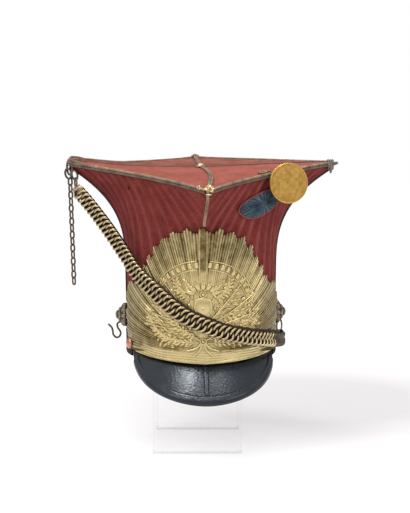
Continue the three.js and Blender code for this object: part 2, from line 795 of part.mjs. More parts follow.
add("stand", "acrylic", standLoop());
add("board_top", "board_cloth", board());
["front_right", "back_right", "back_left", "front_left"].forEach((side, face) => {
  add(`crown_${side}`, "cloth", crownPanel(face));
  add(`edge_cord_${side}`, "cord", edgeCord(face));
});
add("top_cord_front", "cord", boardStrip(FRONT, TOP_CORD));
add("top_cord_back", "cord", boardStrip(BACK, { ...TOP_CORD, bow: 0 }));
add("top_seam_left", "piping", boardStrip(LEFT, TOP_SEAM));
add("top_seam_right", "piping", boardStrip(RIGHT, TOP_SEAM));
add("corner_cord_front", "cord", cornerCord(FRONT, RIM_Z + 154, 1.7, GAP));
add("corner_cord_left", "piping", cornerCord(LEFT, RIM_Z + 59, 1.1));
add("corner_cord_right", "piping", cornerCord(RIGHT, RIM_Z + 61, 1.1));
add("corner_cord_back", "piping", cornerCord(BACK, BAND.top + 1, 1.1));
add("top_button", "gilt", boardButton(0, BUTTON_SIZE));
add("front_knot", "gilt", boardButton(146.5));
add("corner_ring_left", "bronze", cornerRing(-1));
add("corner_ring_right", "gilt", cornerRing(1));
add("front_plate", "brass", frontPlate());
add("plate_rivet", "copper", plateRivet());
add("head_band", "leather", headBand());
add("peak", "leather", peak());
add("peak_binding", "leather", peakBinding());
add("peak_seam", "leather", peakSeam());
add("boss_left", "brass", boss(-BOSS_ANGLE, RIM_Z + 41.5));
add("boss_right", "brass", boss(BOSS_ANGLE, RIM_Z + 44));
add("side_hook", "bronze", sideHook());
add("strap_ring", "bronze", strapRing());
add("chin_strap", "leather", chinStrap());
add("chin_chain", "bronze", chinChain());
add("strap_tip", "tan_leather", strapTip());
add("strap_links", "bronze", strapLinks());
add("hanging_chain", "bronze", hangingChain());
add("cockade", "ribbon", cockade());
add("pompon_disc", "gilt", pomponDisc());
add("disc_stem", "gilt", discStem());

export default cap;
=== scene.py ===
"""Looks of the lancer cap on its clear stand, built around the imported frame."""

import math

import bmesh
import bpy
import numpy as np
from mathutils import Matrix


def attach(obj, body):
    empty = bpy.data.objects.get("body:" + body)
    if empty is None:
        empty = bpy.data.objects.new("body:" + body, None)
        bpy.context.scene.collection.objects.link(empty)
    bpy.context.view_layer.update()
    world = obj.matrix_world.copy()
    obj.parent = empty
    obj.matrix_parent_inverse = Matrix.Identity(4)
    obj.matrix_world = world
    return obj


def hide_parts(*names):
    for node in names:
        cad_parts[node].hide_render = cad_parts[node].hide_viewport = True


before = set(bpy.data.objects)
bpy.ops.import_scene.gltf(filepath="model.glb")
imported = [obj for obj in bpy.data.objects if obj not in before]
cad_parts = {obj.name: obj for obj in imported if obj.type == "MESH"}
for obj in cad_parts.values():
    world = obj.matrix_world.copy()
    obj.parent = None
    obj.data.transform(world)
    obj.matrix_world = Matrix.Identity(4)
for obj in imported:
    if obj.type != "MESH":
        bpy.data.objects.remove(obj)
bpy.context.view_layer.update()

MM = 0.001
QUARTER = math.pi / 2
RIGHT, BACK, UP = np.eye(3)
SIDES = ["front_right", "back_right", "back_left", "front_left"]

# The cap's form, with the same driving dimensions as the part, in millimetres

GAP = 0.3
RIM_Z = 105.5
RIM_HALF_WIDTH = 82.5
RIM_HALF_DEPTH = 101
WALL = 2.5
WAIST = 0.457
FLARE_POWER = 2.9
BODY_SWELL = 0.04
FACE_AT_WAIST = 145
FACE_AT_TOP = 213
RIB_PITCH = 14
RIB_HEIGHT = 0.9
# How much paler the rib crests are on each face: rubbing, with a painted highlight that is strongest on the
# front right face
RIB_WEAR_AND_LIGHT = (0.95, 0.5, 0.5, 0.6)

BOARD_Z = RIM_Z + 209
BOARD_REACH = 151
BOARD_POWER = 0.88
BOARD_TILT = 0.064
BOARD_SIDE_LIFT = 6.5
BOARD_FRONT_SAG = 10.5
BOARD_RIGHT_SWELL = 2.3
BOARD_LEFT_CURL = 5.0
BOARD_THICK = 5
CROWN_REACH = BOARD_REACH - 1.5

PLATE_TURN = math.radians(-1.5)
PLATE_ARC_RADIUS = 95
PLATE_HUB_Z = RIM_Z + 55
PLATE_STAND_OFF = 3
PLATE_THICK = 1
PLATE_FACE = PLATE_STAND_OFF + PLATE_THICK
RAY_COUNT = 25
RAY_SPREAD = math.radians(112)
RAY_ROOT = -40
RAY_REACH = {"top": 95, "shoulder": -7, "side": 34}
PLATE_FOOT = {"rise": 8, "angle": math.radians(61), "power": 1.3, "lift": 0.6}

PEAK = {"reach": 34, "drop": 34.5, "bow": 0.1, "deep": 2.2}
PEAK |= {"span": math.radians(67), "power": 1.38, "binding_end": 0.94 * 20 / 24}
BAND = {"bottom": RIM_Z + 0.4, "top": RIM_Z + 27, "thick": 2, "off": 0.55, "from": math.radians(64)}
CHIN_TIP_SHARE = 0.04


def lerp(a, b, share):
    return a + (b - a) * share


def smoothstep(value, low, high):
    share = np.clip((np.asarray(value, float) - low) / (high - low), 0, 1)
    return share * share * (3 - 2 * share)


def off_middle(turn, low, high):
    """A smooth step between two angles in degrees, to either side."""
    return smoothstep(np.abs(turn), math.radians(low), math.radians(high))


def unit(vectors):
    return vectors / np.linalg.norm(vectors, axis=-1, keepdims=True)


def around(angle, radius, z):
    angle, radius, z = np.broadcast_arrays(*(np.asarray(v, float) for v in (angle, radius, z)))
    return np.stack([radius * np.sin(angle), -radius * np.cos(angle), z], -1)


def facing(angle):
    return around(angle, 1.0, 0.0)


def column(*values):
    return np.array(values)[:, None]


def full_turn(count):
    return np.linspace(0, 2 * np.pi, count, endpoint=False)


def oval_radius(angle, inset=0.0):
    return 1 / np.hypot(np.sin(angle) / (RIM_HALF_WIDTH - inset), np.cos(angle) / (RIM_HALF_DEPTH - inset))


def board_radius(angle, reach):
    side = np.abs(np.sin(angle)) ** BOARD_POWER + np.abs(np.cos(angle)) ** BOARD_POWER
    return reach / side ** (1 / BOARD_POWER)


def board_top(x, y):
    sag = BOARD_FRONT_SAG * (np.maximum(0, -np.asarray(y, float)) / BOARD_REACH) ** 2
    swell = BOARD_RIGHT_SWELL * np.sin(math.pi * np.clip(x / BOARD_REACH, 0, 1)) * smoothstep(y, -50, 25)
    to_rear = np.asarray(y, float) / (BOARD_REACH + 4 - np.abs(x))
    curl = BOARD_LEFT_CURL * smoothstep(-np.asarray(x, float), 85, 146) * smoothstep(to_rear, -0.6, 0.9)
    return BOARD_Z + BOARD_TILT * y + BOARD_SIDE_LIFT * (x / BOARD_REACH) ** 2 - sag + swell + curl


def crown_top(angle, inset=0.0):
    edge = around(angle, board_radius(angle, CROWN_REACH - 2 * inset), 0)
    return board_top(edge[..., 0], edge[..., 1]) - BOARD_THICK - 2 * GAP


def flare(share):
    rise = np.clip((share - WAIST) / (1 - WAIST), 0, 1) ** FLARE_POWER
    return BODY_SWELL * share + (1 - BODY_SWELL) * rise


def wall_radius(angle, share, inset=0.0):
    return lerp(oval_radius(angle, inset), board_radius(angle, CROWN_REACH - 2 * inset), flare(share))


def crown_radius(angle, z):
    return wall_radius(angle, np.clip((z - RIM_Z) / (crown_top(angle) - RIM_Z), 0, 1))


def off_crown(angle, z, distance):
    """A point at a distance from the crown's outside, square to its upright profile."""
    step = 0.5
    slope = (crown_radius(angle, z + step) - crown_radius(angle, z - step)) / (2 * step)
    out = distance / np.hypot(1, slope)
    return around(angle, crown_radius(angle, z) + out, z - slope * out)


def face_point(face, along, share, inset=0.0, swell=0.0):
    angle = face * QUARTER + lerp(along * QUARTER, np.arctan2(along, 1 - along), flare(share))
    z = lerp(RIM_Z, crown_top(angle, inset), share)
    return around(angle, wall_radius(angle, share, inset) + swell, z)


def board_edge(face, along):
    angle = face * QUARTER + np.arctan2(along, 1 - np.asarray(along, float))
    edge = around(angle, board_radius(angle, BOARD_REACH), 0)
    edge[..., 2] = board_top(edge[..., 0], edge[..., 1])
    return edge


def beside_edge(face, along, out, up, step=0.01):
    run = unit(board_edge(face, along + step) - board_edge(face, along - step))
    return board_edge(face, along) + out * unit(np.cross(run, UP)) + up * UP


def plate_point(along, up, distance):
    return off_crown(PLATE_TURN + along / PLATE_ARC_RADIUS, PLATE_HUB_Z + up, distance)


def plate_foot(angle):
    share = np.abs(angle / PLATE_FOOT["angle"])
    return RIM_Z + PLATE_FOOT["lift"] + PLATE_FOOT["rise"] * share ** PLATE_FOOT["power"]


def peak_point(across, out):
    angle = across * PEAK["span"]
    root = plate_foot(angle) - 2 * GAP
    share = np.cos(across * QUARTER) ** PEAK["power"]
    z = root - PEAK["drop"] * share * lerp(out, out**2, PEAK["bow"])
    return around(angle, crown_radius(angle, root) + 0.5 + PEAK["reach"] * share * out, z)


# Meshes


def grid_faces(rows, cols, closed):
    r, c = np.meshgrid(np.arange(rows if closed else rows - 1), np.arange(cols), indexing="ij")
    down, right = (r + 1) % rows, (c + 1) % cols
    return np.stack([r * cols + c, r * cols + right, down * cols + right, down * cols + c], -1).reshape(-1, 4)


class Shape:
    """Surfaces gathered into one mesh, with a shade from 0 to 1 at every point."""

    def __init__(self, *sheet):
        self.points, self.faces, self.shades, self.size = [], [], [], 0
        if sheet:
            self.sheet(*sheet)

    def add(self, points, faces, shade):
        points = np.asarray(points, float).reshape(-1, 3)
        self.points.append(points)
        self.faces.extend((np.asarray(faces) + self.size).tolist())
        self.shades.append(np.broadcast_to(np.asarray(shade, float).reshape(-1), len(points)))
        self.size += len(points)

    def sheet(self, grid, shade=0.0, closed=False):
        """A grid whose columns go round. Its end rows join if it is closed, and get fans if not."""
        rows, cols = grid.shape[:2]
        shade = np.broadcast_to(np.asarray(shade, float), (rows, cols))
        start = self.size
        self.add(grid, grid_faces(rows, cols, closed), shade)
        if not closed:
            for row in (0, rows - 1):
                ring = start + row * cols + np.arange(cols)
                centre = self.size
                self.add(grid[row].mean(0), np.zeros((0, 3), int), shade[row].mean())
                self.faces.extend([int(a), int(b), centre] for a, b in zip(ring, np.roll(ring, -1)))


def frames(path, hint, closed=False):
    """Tangent, normal and side of every point of a path; the normal stays near the hint."""
    wide = np.concatenate([path[-2:], path, path[:2]]) if closed else path
    tangent = unit(np.gradient(wide, axis=0))[2 * closed :][: len(path)]
    hint = np.broadcast_to(np.asarray(hint, float), path.shape)
    normal = unit(hint - (hint * tangent).sum(-1, keepdims=True) * tangent)
    return tangent, normal, np.cross(tangent, normal)


def length_of(path):
    return np.concatenate([[0], np.cumsum(np.linalg.norm(np.diff(path, axis=0), axis=1))])


def between(at, reach, values):
    """Values at lengths along a path, from those at its points."""
    return np.stack([np.interp(at, reach, values[:, k]) for k in range(3)], -1)


def resample(path, step):
    reach = length_of(path)
    at = np.linspace(0, reach[-1], max(3, int(round(reach[-1] / step)) + 1))
    return between(at, reach, path)


def smooth_path(points, per=24):
    """A centripetal Catmull-Rom curve through points."""
    points = np.asarray(points, float)
    ends = np.concatenate([[2 * points[0] - points[1]], points, [2 * points[-1] - points[-2]]])
    t = np.linspace(0, 1, per, endpoint=False)[:, None]
    runs = []
    for p0, p1, p2, p3 in zip(ends, ends[1:], ends[2:], ends[3:]):
        d0, d1, d2 = (math.sqrt(np.linalg.norm(b - a)) for a, b in ((p0, p1), (p1, p2), (p2, p3)))
        t1 = ((p1 - p0) / d0 - (p2 - p0) / (d0 + d1) + (p2 - p1) / d1) * d1
        t2 = ((p2 - p1) / d1 - (p3 - p1) / (d1 + d2) + (p3 - p2) / d2) * d1
        runs.append(p1 + t1 * t + (3 * (p2 - p1) - 2 * t1 - t2) * t**2 + (2 * (p1 - p2) + t1 + t2) * t**3)
    return np.concatenate([*runs, points[-1:]])


def sweep(shape, path, hint, outline, shade=0.0, closed=False):
    """Carries a closed outline, of pairs along the side and the normal, along a path."""
    _, normal, side = frames(path, hint, closed)
    outline = np.broadcast_to(outline, (len(path), *np.shape(outline)[-2:]))
    grid = path[:, None] + outline[..., :1] * side[:, None] + outline[..., 1:] * normal[:, None]
    shape.sheet(grid, shade, closed)


def circle(radius, sides):
    turn = full_turn(sides)
    return np.stack([radius * np.cos(turn), radius * np.sin(turn)], -1)


def rounded(width, thick, corner, steps=4):
    """Outline of a flat strip with rounded edges."""
    turn = np.linspace(0, QUARTER, steps)
    arc = corner * np.stack([np.cos(turn), np.sin(turn)], -1)
    half = np.array([width / 2 - corner, thick / 2 - corner])
    corners = []
    for quarter, (sx, sy) in enumerate([(1, 1), (-1, 1), (-1, -1), (1, -1)]):
        part = arc * [sx, sy] + half * [sx, sy]
        corners.append(part if quarter % 2 == 0 else part[::-1])
    return np.concatenate(corners)


def rope(shape, path, hint, radius, pitch, groove=0.3, tone=1.0, strands=2):
    """A twisted cord: a lobed outline that turns as it goes."""
    sides, steps_per_turn = 12, 8
    path = resample(path, pitch / steps_per_turn)
    reach = length_of(path)
    turn = full_turn(sides)
    lobe = np.abs(np.cos(strands / 2 * (turn[None] - 2 * np.pi * reach[:, None] / pitch)))
    size = radius * (1 - groove + groove * lobe)
    outline = np.stack([size * np.cos(turn), size * np.sin(turn)], -1)
    # The shade is low in the hollows between strands and high on their crests: painted shade and painted
    # highlight
    sweep(shape, path, hint, outline, tone * (0.25 + 0.75 * lobe))


def oval(centre, a, b, count=40):
    turn = full_turn(count)[:, None]
    return centre + np.cos(turn) * a + np.sin(turn) * b


def blunt(wave):
    """Turns a circle's coordinate into that of an oval with blunter ends."""
    return np.sign(wave) * np.abs(wave) ** 0.74


def wire_ring(shape, centre, a, b, wire, count=40, sides=10, shade=0.5):
    a, b = np.asarray(a, float), np.asarray(b, float)
    path = oval(np.asarray(centre, float), a, b, count)
    sweep(shape, path, np.cross(a, b), circle(wire, sides), shade, True)


def axes_of(axis):
    axis = unit(np.asarray(axis, float))
    across = unit(np.cross(axis, UP if abs(axis[2]) < 0.9 else RIGHT))
    return axis, across, np.cross(axis, across)


def lathe(profile, sides, foot, axis, shade, lobes=None):
    """A turned shape; lobes gives a factor on the radius from the turn and the radius."""
    axis, across, third = axes_of(axis)
    profile = np.asarray(profile, float)
    turn = full_turn(sides)
    radius = np.repeat(profile[:, :1], sides, 1)
    if lobes is not None:
        radius = radius * lobes(turn[None], radius)
    around_axis = np.cos(turn)[:, None] * across + np.sin(turn)[:, None] * third
    grid = np.asarray(foot, float) + radius[..., None] * around_axis[None] + profile[:, 1, None, None] * axis
    return Shape(grid, np.reshape(shade, (-1, 1)))


def drop(shape, centre, long, wide, tall, rings=8, sides=10, shade=0.8):
    """An ellipsoid with three half axes."""
    fall = np.linspace(0.06, np.pi - 0.06, rings)[:, None, None]
    turn = full_turn(sides)[None, :, None]
    grid = centre + np.cos(fall) * long + np.sin(fall) * (np.cos(turn) * wide + np.sin(turn) * tall)
    shape.sheet(grid, shade)


def piece(name, shape, material, replaces=(), sharp=50):
    mesh = bpy.data.meshes.new(name)
    mesh.from_pydata((np.concatenate(shape.points) * MM).tolist(), [], shape.faces)
    mesh.attributes.new("shade", "FLOAT", "POINT").data.foreach_set("value", np.concatenate(shape.shades))
    work = bmesh.new()
    work.from_mesh(mesh)
    bmesh.ops.remove_doubles(work, verts=work.verts, dist=1e-7)
    bmesh.ops.recalc_face_normals(work, faces=work.faces)
    work.to_mesh(mesh)
    work.free()
    mesh.shade_smooth()
    mesh.set_sharp_from_angle(angle=math.radians(sharp))
    mesh.materials.append(material)
    obj = bpy.data.objects.new(name, mesh)
    bpy.context.scene.collection.objects.link(obj)
    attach(obj, "root")
    if replaces:
        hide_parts(*replaces)


# Materials


class Nodes:
    """Adds nodes to a tree, with their inputs linked or set."""

    def __init__(self, tree):
        self.tree = tree

    def node(self, kind, inputs=(), **settings):
        node = self.tree.nodes.new(kind)
        for name, value in settings.items():
            setattr(node, name, value)
        for socket, value in dict(inputs).items():
            if isinstance(value, bpy.types.NodeSocket):
                self.tree.links.new(value, node.inputs[socket])
            else:
                node.inputs[socket].default_value = value
        return node

    def span(self, fac, low, high, to_low, to_high):
        inputs = {"Value": fac, "From Min": low, "From Max": high, "To Min": to_low, "To Max": to_high}
        return self.node("ShaderNodeMapRange", inputs).outputs["Result"]


class Finish(Nodes):
    """A Principled material with helpers for its procedural detail."""

    def __init__(self, name, **constants):
        self.material = bpy.data.materials.new(name)
        self.material.use_nodes = True
        super().__init__(self.material.node_tree)
        self.shader = self.tree.nodes["Principled BSDF"]
        self.set(**constants)
        self.place = self.node("ShaderNodeTexCoord").outputs["Object"]

    def set(self, **constants):
        for socket, value in constants.items():
            self.shader.inputs[socket.replace("_", " ")].default_value = value

    def noise(self, scale, detail=4.0, roughness=0.55):
        inputs = {"Vector": self.place, "Scale": scale, "Detail": detail, "Roughness": roughness}
        return self.node("ShaderNodeTexNoise", inputs).outputs["Fac"]

    def cells(self, scale):
        inputs = {"Vector": self.place, "Scale": scale}
        return self.node("ShaderNodeTexVoronoi", inputs, feature="DISTANCE_TO_EDGE").outputs["Distance"]

    def shade(self):
        return self.node("ShaderNodeAttribute", attribute_name="shade").outputs["Fac"]

    def ramp(self, fac, stops):
        node = self.node("ShaderNodeValToRGB", {"Fac": fac})
        elements = node.color_ramp.elements
        while len(elements) < len(stops):
            elements.new(0.5)
        for element, (position, value) in zip(elements, stops):
            element.position = position
            element.color = (*value, 1) if isinstance(value, tuple) else (value, value, value, 1)
        return node.outputs["Color"]

    def mix(self, fac, a, b, blend="MIX"):
        a, b = ((*value, 1) if isinstance(value, tuple) else value for value in (a, b))
        return self.node("ShaderNodeMix", {0: fac, 6: a, 7: b}, data_type="RGBA", blend_type=blend).outputs[2]

    def maths(self, operation, a, b):
        return self.node("ShaderNodeMath", {0: a, 1: b}, operation=operation).outputs[0]

    def distance(self, point):
        node = self.node("ShaderNodeVectorMath", {0: self.place, 1: point}, operation="DISTANCE")
        return node.outputs["Value"]

    def link(self, name, socket):
        self.tree.links.new(socket, self.shader.inputs[name])

    def color(self, socket):
        self.link("Base Color", socket)

    def roughness(self, socket):
        self.link("Roughness", socket)

    def bump(self, height, depth, strength=1.0):
        before = self.shader.inputs["Normal"].links
        inputs = {"Height": height, "Distance": depth * MM, "Strength": strength}
        if before:
            inputs["Normal"] = before[0].from_socket
        self.link("Normal", self.node("ShaderNodeBump", inputs).outputs["Normal"])


def felt(name, low, high, toned, sheen, mottle=0.82, mark=None):
    finish = Finish(name, Roughness=1.0, Specular_IOR_Level=0.03, Sheen_Weight=sheen)
    finish.set(Sheen_Roughness=0.4, Sheen_Tint=(1, 0.45, 0.38, 1))
    cloth = finish.mix(finish.span(finish.noise(60, 6), 0.3, 0.7, 0, 1), low, high)
    for scale, detail, stain in ((16, 5, mottle), (150, 4, mottle + 0.06), (480, 3, 0.84)):
        blotch = finish.ramp(finish.noise(scale, detail), [(0.3, stain), (0.7, 1.12)])
        cloth = finish.mix(1.0, cloth, blotch, "MULTIPLY")
    # The shade attribute moves the cloth towards its paler tone: rubbing with a painted highlight on the rib
    # crests, and painted light on the front half of the board
    wear_and_painted_light = finish.maths("MULTIPLY", finish.shade(), finish.span(finish.noise(45, 4), 0.3, 0.65, 0.25, 1.0))
    cloth = finish.mix(wear_and_painted_light, cloth, toned)
    if mark:
        hole = finish.span(finish.distance(mark), 0.001, 0.003, 0.8, 0.0)
        cloth = finish.mix(hole, cloth, (0.02, 0.006, 0.006))
    finish.color(cloth)
    finish.bump(finish.noise(1600, 3), 0.25, 0.5)
    finish.bump(finish.noise(260, 4), 0.3, 0.4)
    return finish.material


def metal(name, dark, light, rough, patina=0.5, pits=500.0, blotch=120.0):
    """Aged metal: dark in its hollows and bright where it is rubbed; on some pieces the shade it reads also
    carries painted shade and highlights.
    """
    finish = Finish(name, Metallic=1.0)
    rub = finish.span(finish.noise(blotch, 6, 0.7), 0.3, 0.7, -patina / 2, patina / 2)
    height = finish.maths("ADD", finish.shade(), rub)
    finish.color(finish.ramp(height, [(0.15, dark), (0.75, light)]))
    finish.roughness(finish.span(finish.noise(pits, 5), 0.3, 0.7, *rough))
    finish.bump(finish.noise(pits, 4), 0.12, 0.35)
    return finish.material


def leather(name, base, high, rough, gloss=0.5, grain=420.0, crackle=0.35):
    finish = Finish(name, Specular_IOR_Level=gloss, Specular_Tint=(0.86, 0.93, 1, 1))
    finish.color(finish.mix(finish.span(finish.noise(40, 6), 0.35, 0.75, 0, 1), base, high))
    finish.roughness(finish.span(finish.noise(70, 5), 0.3, 0.7, *rough))
    finish.bump(finish.cells(grain), 0.25, crackle)
    finish.bump(finish.noise(90, 4), 0.5, 0.12)
    return finish.material


def thread(name, dark, light, metallic=0.0, rough=0.6):
    finish = Finish(name, Metallic=metallic, Roughness=rough)
    toned = finish.mix(finish.span(finish.noise(90, 5), 0.35, 0.7, 0, 1), dark, light)
    # Painted shade: a low shade, in the hollows between strands and the pleat valleys, darkens the colour
    painted_groove_shade = finish.ramp(finish.shade(), [(0.0, 0.2), (0.8, 1.0)])
    finish.color(finish.mix(1.0, toned, painted_groove_shade, "MULTIPLY"))
    finish.bump(finish.noise(1800, 3), 0.15, 0.6)
    return finish.material


MOTH_MARK = (-0.0812, -0.05, 0.2932)
CLOTH = felt(
    "crimson_felt", (0.13, 0.022, 0.02), (0.195, 0.036, 0.032), (0.235, 0.068, 0.059), 0.05, 0.8, MOTH_MARK
)
BOARD_CLOTH = felt("faded_felt", (0.2, 0.064, 0.049), (0.305, 0.108, 0.081), (0.34, 0.088, 0.065), 0.06, 0.66)
CORD = thread("gold_cord", (0.16, 0.095, 0.06), (0.37, 0.25, 0.165), 0.1, 0.55)
GREY_CORD = thread("grey_cord", (0.085, 0.068, 0.052), (0.33, 0.285, 0.235), 0.1, 0.55)
PIPING = thread("dark_piping", (0.012, 0.008, 0.012), (0.045, 0.025, 0.035))
SEAM_PIPING = thread("brown_piping", (0.07, 0.03, 0.025), (0.14, 0.07, 0.05))
GILT = metal("worn_gilt", (0.2, 0.1, 0.02), (0.53, 0.32, 0.085), (0.38, 0.55), 0.5, 500.0, 220.0)
ROSE_GILT = metal("rose_gilt", (0.2, 0.085, 0.045), (0.66, 0.41, 0.27), (0.35, 0.5), 0.5)
BRASS = metal("aged_brass", (0.075, 0.05, 0.016), (0.62, 0.5, 0.25), (0.24, 0.4), 0.3)
BRONZE = metal("dark_bronze", (0.05, 0.036, 0.017), (0.5, 0.4, 0.24), (0.26, 0.4), 0.25)
BRIGHT_GILT = metal("bright_gilt", (0.28, 0.18, 0.07), (0.78, 0.6, 0.34), (0.22, 0.36), 0.3)
BOSS_BRONZE = metal("boss_bronze", (0.03, 0.024, 0.018), (0.27, 0.22, 0.16), (0.35, 0.5), 0.5)
IRON = metal("grey_bronze", (0.03, 0.026, 0.022), (0.2, 0.165, 0.125), (0.35, 0.5), 0.4)
COPPER = metal("copper", (0.16, 0.06, 0.035), (0.5, 0.24, 0.16), (0.22, 0.35), 0.5)
LEATHER = leather("black_leather", (0.005, 0.006, 0.009), (0.014, 0.017, 0.023), (0.16, 0.36), 0.47, 260, 0.8)
BAND_LEATHER = leather("band_leather", (0.01, 0.007, 0.006), (0.024, 0.017, 0.015), (0.55, 0.7), 0.07)
SEAM_LEATHER = leather("seam_leather", (0.004, 0.004, 0.005), (0.01, 0.01, 0.012), (0.5, 0.7), 0.2)
STRAP_LEATHER = leather("strap_leather", (0.02, 0.012, 0.008), (0.062, 0.038, 0.023), (0.5, 0.7), 0.2)
TAN_LEATHER = leather("tan_leather", (0.3, 0.17, 0.12), (0.45, 0.29, 0.22), (0.5, 0.7))
RIBBON = thread("dark_ribbon", (0.014, 0.03, 0.055), (0.06, 0.125, 0.175), 0.0, 0.75)
STITCH = thread("waxed_thread", (0.012, 0.012, 0.013), (0.045, 0.045, 0.048))
CLOTH_EDGE = thread("crimson_edge", (0.16, 0.02, 0.018), (0.25, 0.04, 0.035))


def clear_sheet():
    """Acrylic that is clear through its faces and milky at its cut edges, most of all at the foot."""
    finish = Finish("clear_acrylic", IOR=1.3)
    finish.roughness(finish.span(finish.noise(30, 3), 0.4, 0.8, 0.03, 0.1))
    normal = finish.node("ShaderNodeTexCoord").outputs["Normal"]
    across = finish.node("ShaderNodeSeparateXYZ", {0: normal}).outputs["Y"]
    height = finish.node("ShaderNodeSeparateXYZ", {0: finish.place}).outputs["Z"]
    edge = finish.span(height, 0.0035, 0.006, 0.45, 0.09)
    cut = finish.maths("ABSOLUTE", across, 0.0)
    finish.link("Alpha", finish.span(cut, 0.4, 0.9, 0.03, edge))
    # The cut faces are a darker grey: painted shade along the edges of the sheet
    finish.color(finish.mix(cut, (0.95, 0.95, 0.95), (0.62, 0.64, 0.65)))
    return finish.material


def polished_edge():
    finish = Finish("acrylic_edge", IOR=1.3, Alpha=0.55, Base_Color=(0.8, 0.82, 0.83, 1))
    finish.roughness(finish.span(finish.noise(60, 3), 0.4, 0.8, 0.1, 0.2))
    return finish.material


# Crown and board


def rib_crest(face, along, share):
    """Ribs at a fixed pitch, parallel to the side corners of the crown, from 0 to 1."""
    turn = lerp(along * QUARTER, np.arctan2(along, 1 - along), flare(share))
    across = np.sin(turn) / (np.sin(turn) + np.cos(turn))
    from_side = across if face % 2 else 1 - across
    lane = from_side * lerp(FACE_AT_WAIST, FACE_AT_TOP, flare(share)) / RIB_PITCH
    return (0.5 + 0.5 * np.cos(2 * np.pi * lane)) ** 1.5


def crown():
    per_face = 204
    along = np.arange(per_face)[None] / per_face
    outside = np.concatenate([np.linspace(0, 0.42, 14, endpoint=False), np.linspace(0.42, 1, 38)])[:, None]
    inside = np.linspace(1, 0, 14)[:, None]
    columns, shades = [], []
    for face in range(4):
        crest = rib_crest(face, along, outside) * smoothstep(outside, 0.1, 0.2)
        outer = face_point(face, along, outside, 0.0, RIB_HEIGHT * crest)
        columns.append(np.concatenate([outer, face_point(face, along, inside, WALL)]))
        # Paler rib crests: rubbing, with a painted highlight
        shades.append(np.concatenate([RIB_WEAR_AND_LIGHT[face] * crest**2, np.zeros((len(inside), per_face))]))
    shape = Shape(np.concatenate(columns, 1), np.concatenate(shades, 1), True)
    piece("crown", shape, CLOTH, [f"crown_{side}" for side in SIDES])


def board():
    along = np.arange(56) / 56
    rows = [(share, 0.0) for share in (0.012, 0.06, 0.14, 0.26, 0.4, 0.54, 0.68, 0.8, 0.9, 0.96)]
    rows += [(0.985, -0.15), (0.995, -0.7), (1.0, -1.6), (1.0, -3.6), (0.995, -4.4), (0.985, -4.9)]
    rows += [(share, -5.0) for share in (0.9, 0.7, 0.5, 0.3, 0.15, 0.05, 0.012)]
    share, sink = (np.array(column)[:, None] for column in zip(*rows))
    columns, shades = [], []
    for face in range(4):
        edge = board_edge(face, along)
        x, y = share * edge[None, :, 0], share * edge[None, :, 1]
        on_top = (share < 0.95) * (sink > -0.1)
        fold = 0.7 * np.exp(-((y / 3.0) ** 2)) * on_top
        ripple = 0.35 * np.sin(x / 17 + 1.3 * np.sin(y / 23)) * np.sin(y / 14) * on_top
        columns.append(np.stack([x, y, board_top(x, y) + sink + fold + ripple], -1))
        # The front half of the top is made paler: painted light where it slopes towards the lamps
        shades.append(np.where(sink > -4, 0.55 * smoothstep(-y, 0, 6) * np.ones_like(x), 0.0))
    shape = Shape(np.concatenate(columns, 1), np.concatenate(shades, 1))
    piece("board", shape, BOARD_CLOTH, ["board_top"])


def edge_cords():
    for face, side in enumerate(SIDES):
        shape = Shape()
        lift = 0.7 if side.startswith("back") else 0.0
        # The lower cord of each pair gets a darker tone: painted shade
        for rise, pitch, tone in ((-0.75, 8.4, 1.0), (-3.55, 7.6, 0.3)):
            path = beside_edge(face, np.linspace(0.012, 0.988, 80), 1.35, rise + lift, 0.004)
            rope(shape, path, UP, 1.5, pitch, 0.24, tone)
        piece(f"edge_cords_{side}", shape, CORD, [f"edge_cord_{side}"])


def cord_ring(shape, centre, a, b, hint, radius, pitch, count=40, tone=1.0):
    ring = oval(np.asarray(centre, float), a, b, count)
    rope(shape, np.concatenate([ring, ring[:1]]), hint, radius, pitch, tone=tone)


def wrap(shape, centre, tall, wide):
    """A turn of cord round a corner of the board."""
    cord_ring(shape, centre, tall * UP, wide, np.cross(UP, wide), 1.4, 4.0, 60)


def top_cords():
    for name, turn, bow, drift, to in (("front", 0.0, 6.0, 1.8, 141), ("back", math.pi, 0.0, 0.0, 146)):
        share = np.linspace(0, 1, 60)
        shape = Shape()
        for beside in (-1.2, 1.2):
            path = around(turn, lerp(5.5, to, share), 0)
            path += facing(turn + QUARTER) * (bow * np.sin(np.pi * share) + drift * share + beside)[:, None]
            path[:, 2] = board_top(path[:, 0], path[:, 1]) + 1.35
            rope(shape, path, UP, 1.25, 6.0, groove=0.24, tone=0.75)
        if name == "back":
            for y, wide in ((143.6, 5.2), (145.9, 4.9), (148.2, 4.2)):
                wrap(shape, [0, y, board_top(0, y) - 1.6], 4.6, wide * RIGHT)
            middle = np.array([0, 148.0, board_top(0, 148.0) - 1.8])
            drop(shape, middle, 4.0 * RIGHT, 3.4 * BACK, 4.2 * UP, 10, 16, 0.4)
        piece(f"top_cords_{name}", shape, CORD, [f"top_cord_{name}"])
    for name, turn in (("left", -QUARTER), ("right", QUARTER)):
        path = around(turn, np.linspace(6, 140, 60), 0)
        path[:, 2] = board_top(path[:, 0], path[:, 1]) + 0.9
        shape = Shape()
        rope(shape, path, UP, 0.75, 4.0)
        piece(f"top_piping_{name}", shape, SEAM_PIPING, [f"top_seam_{name}"])


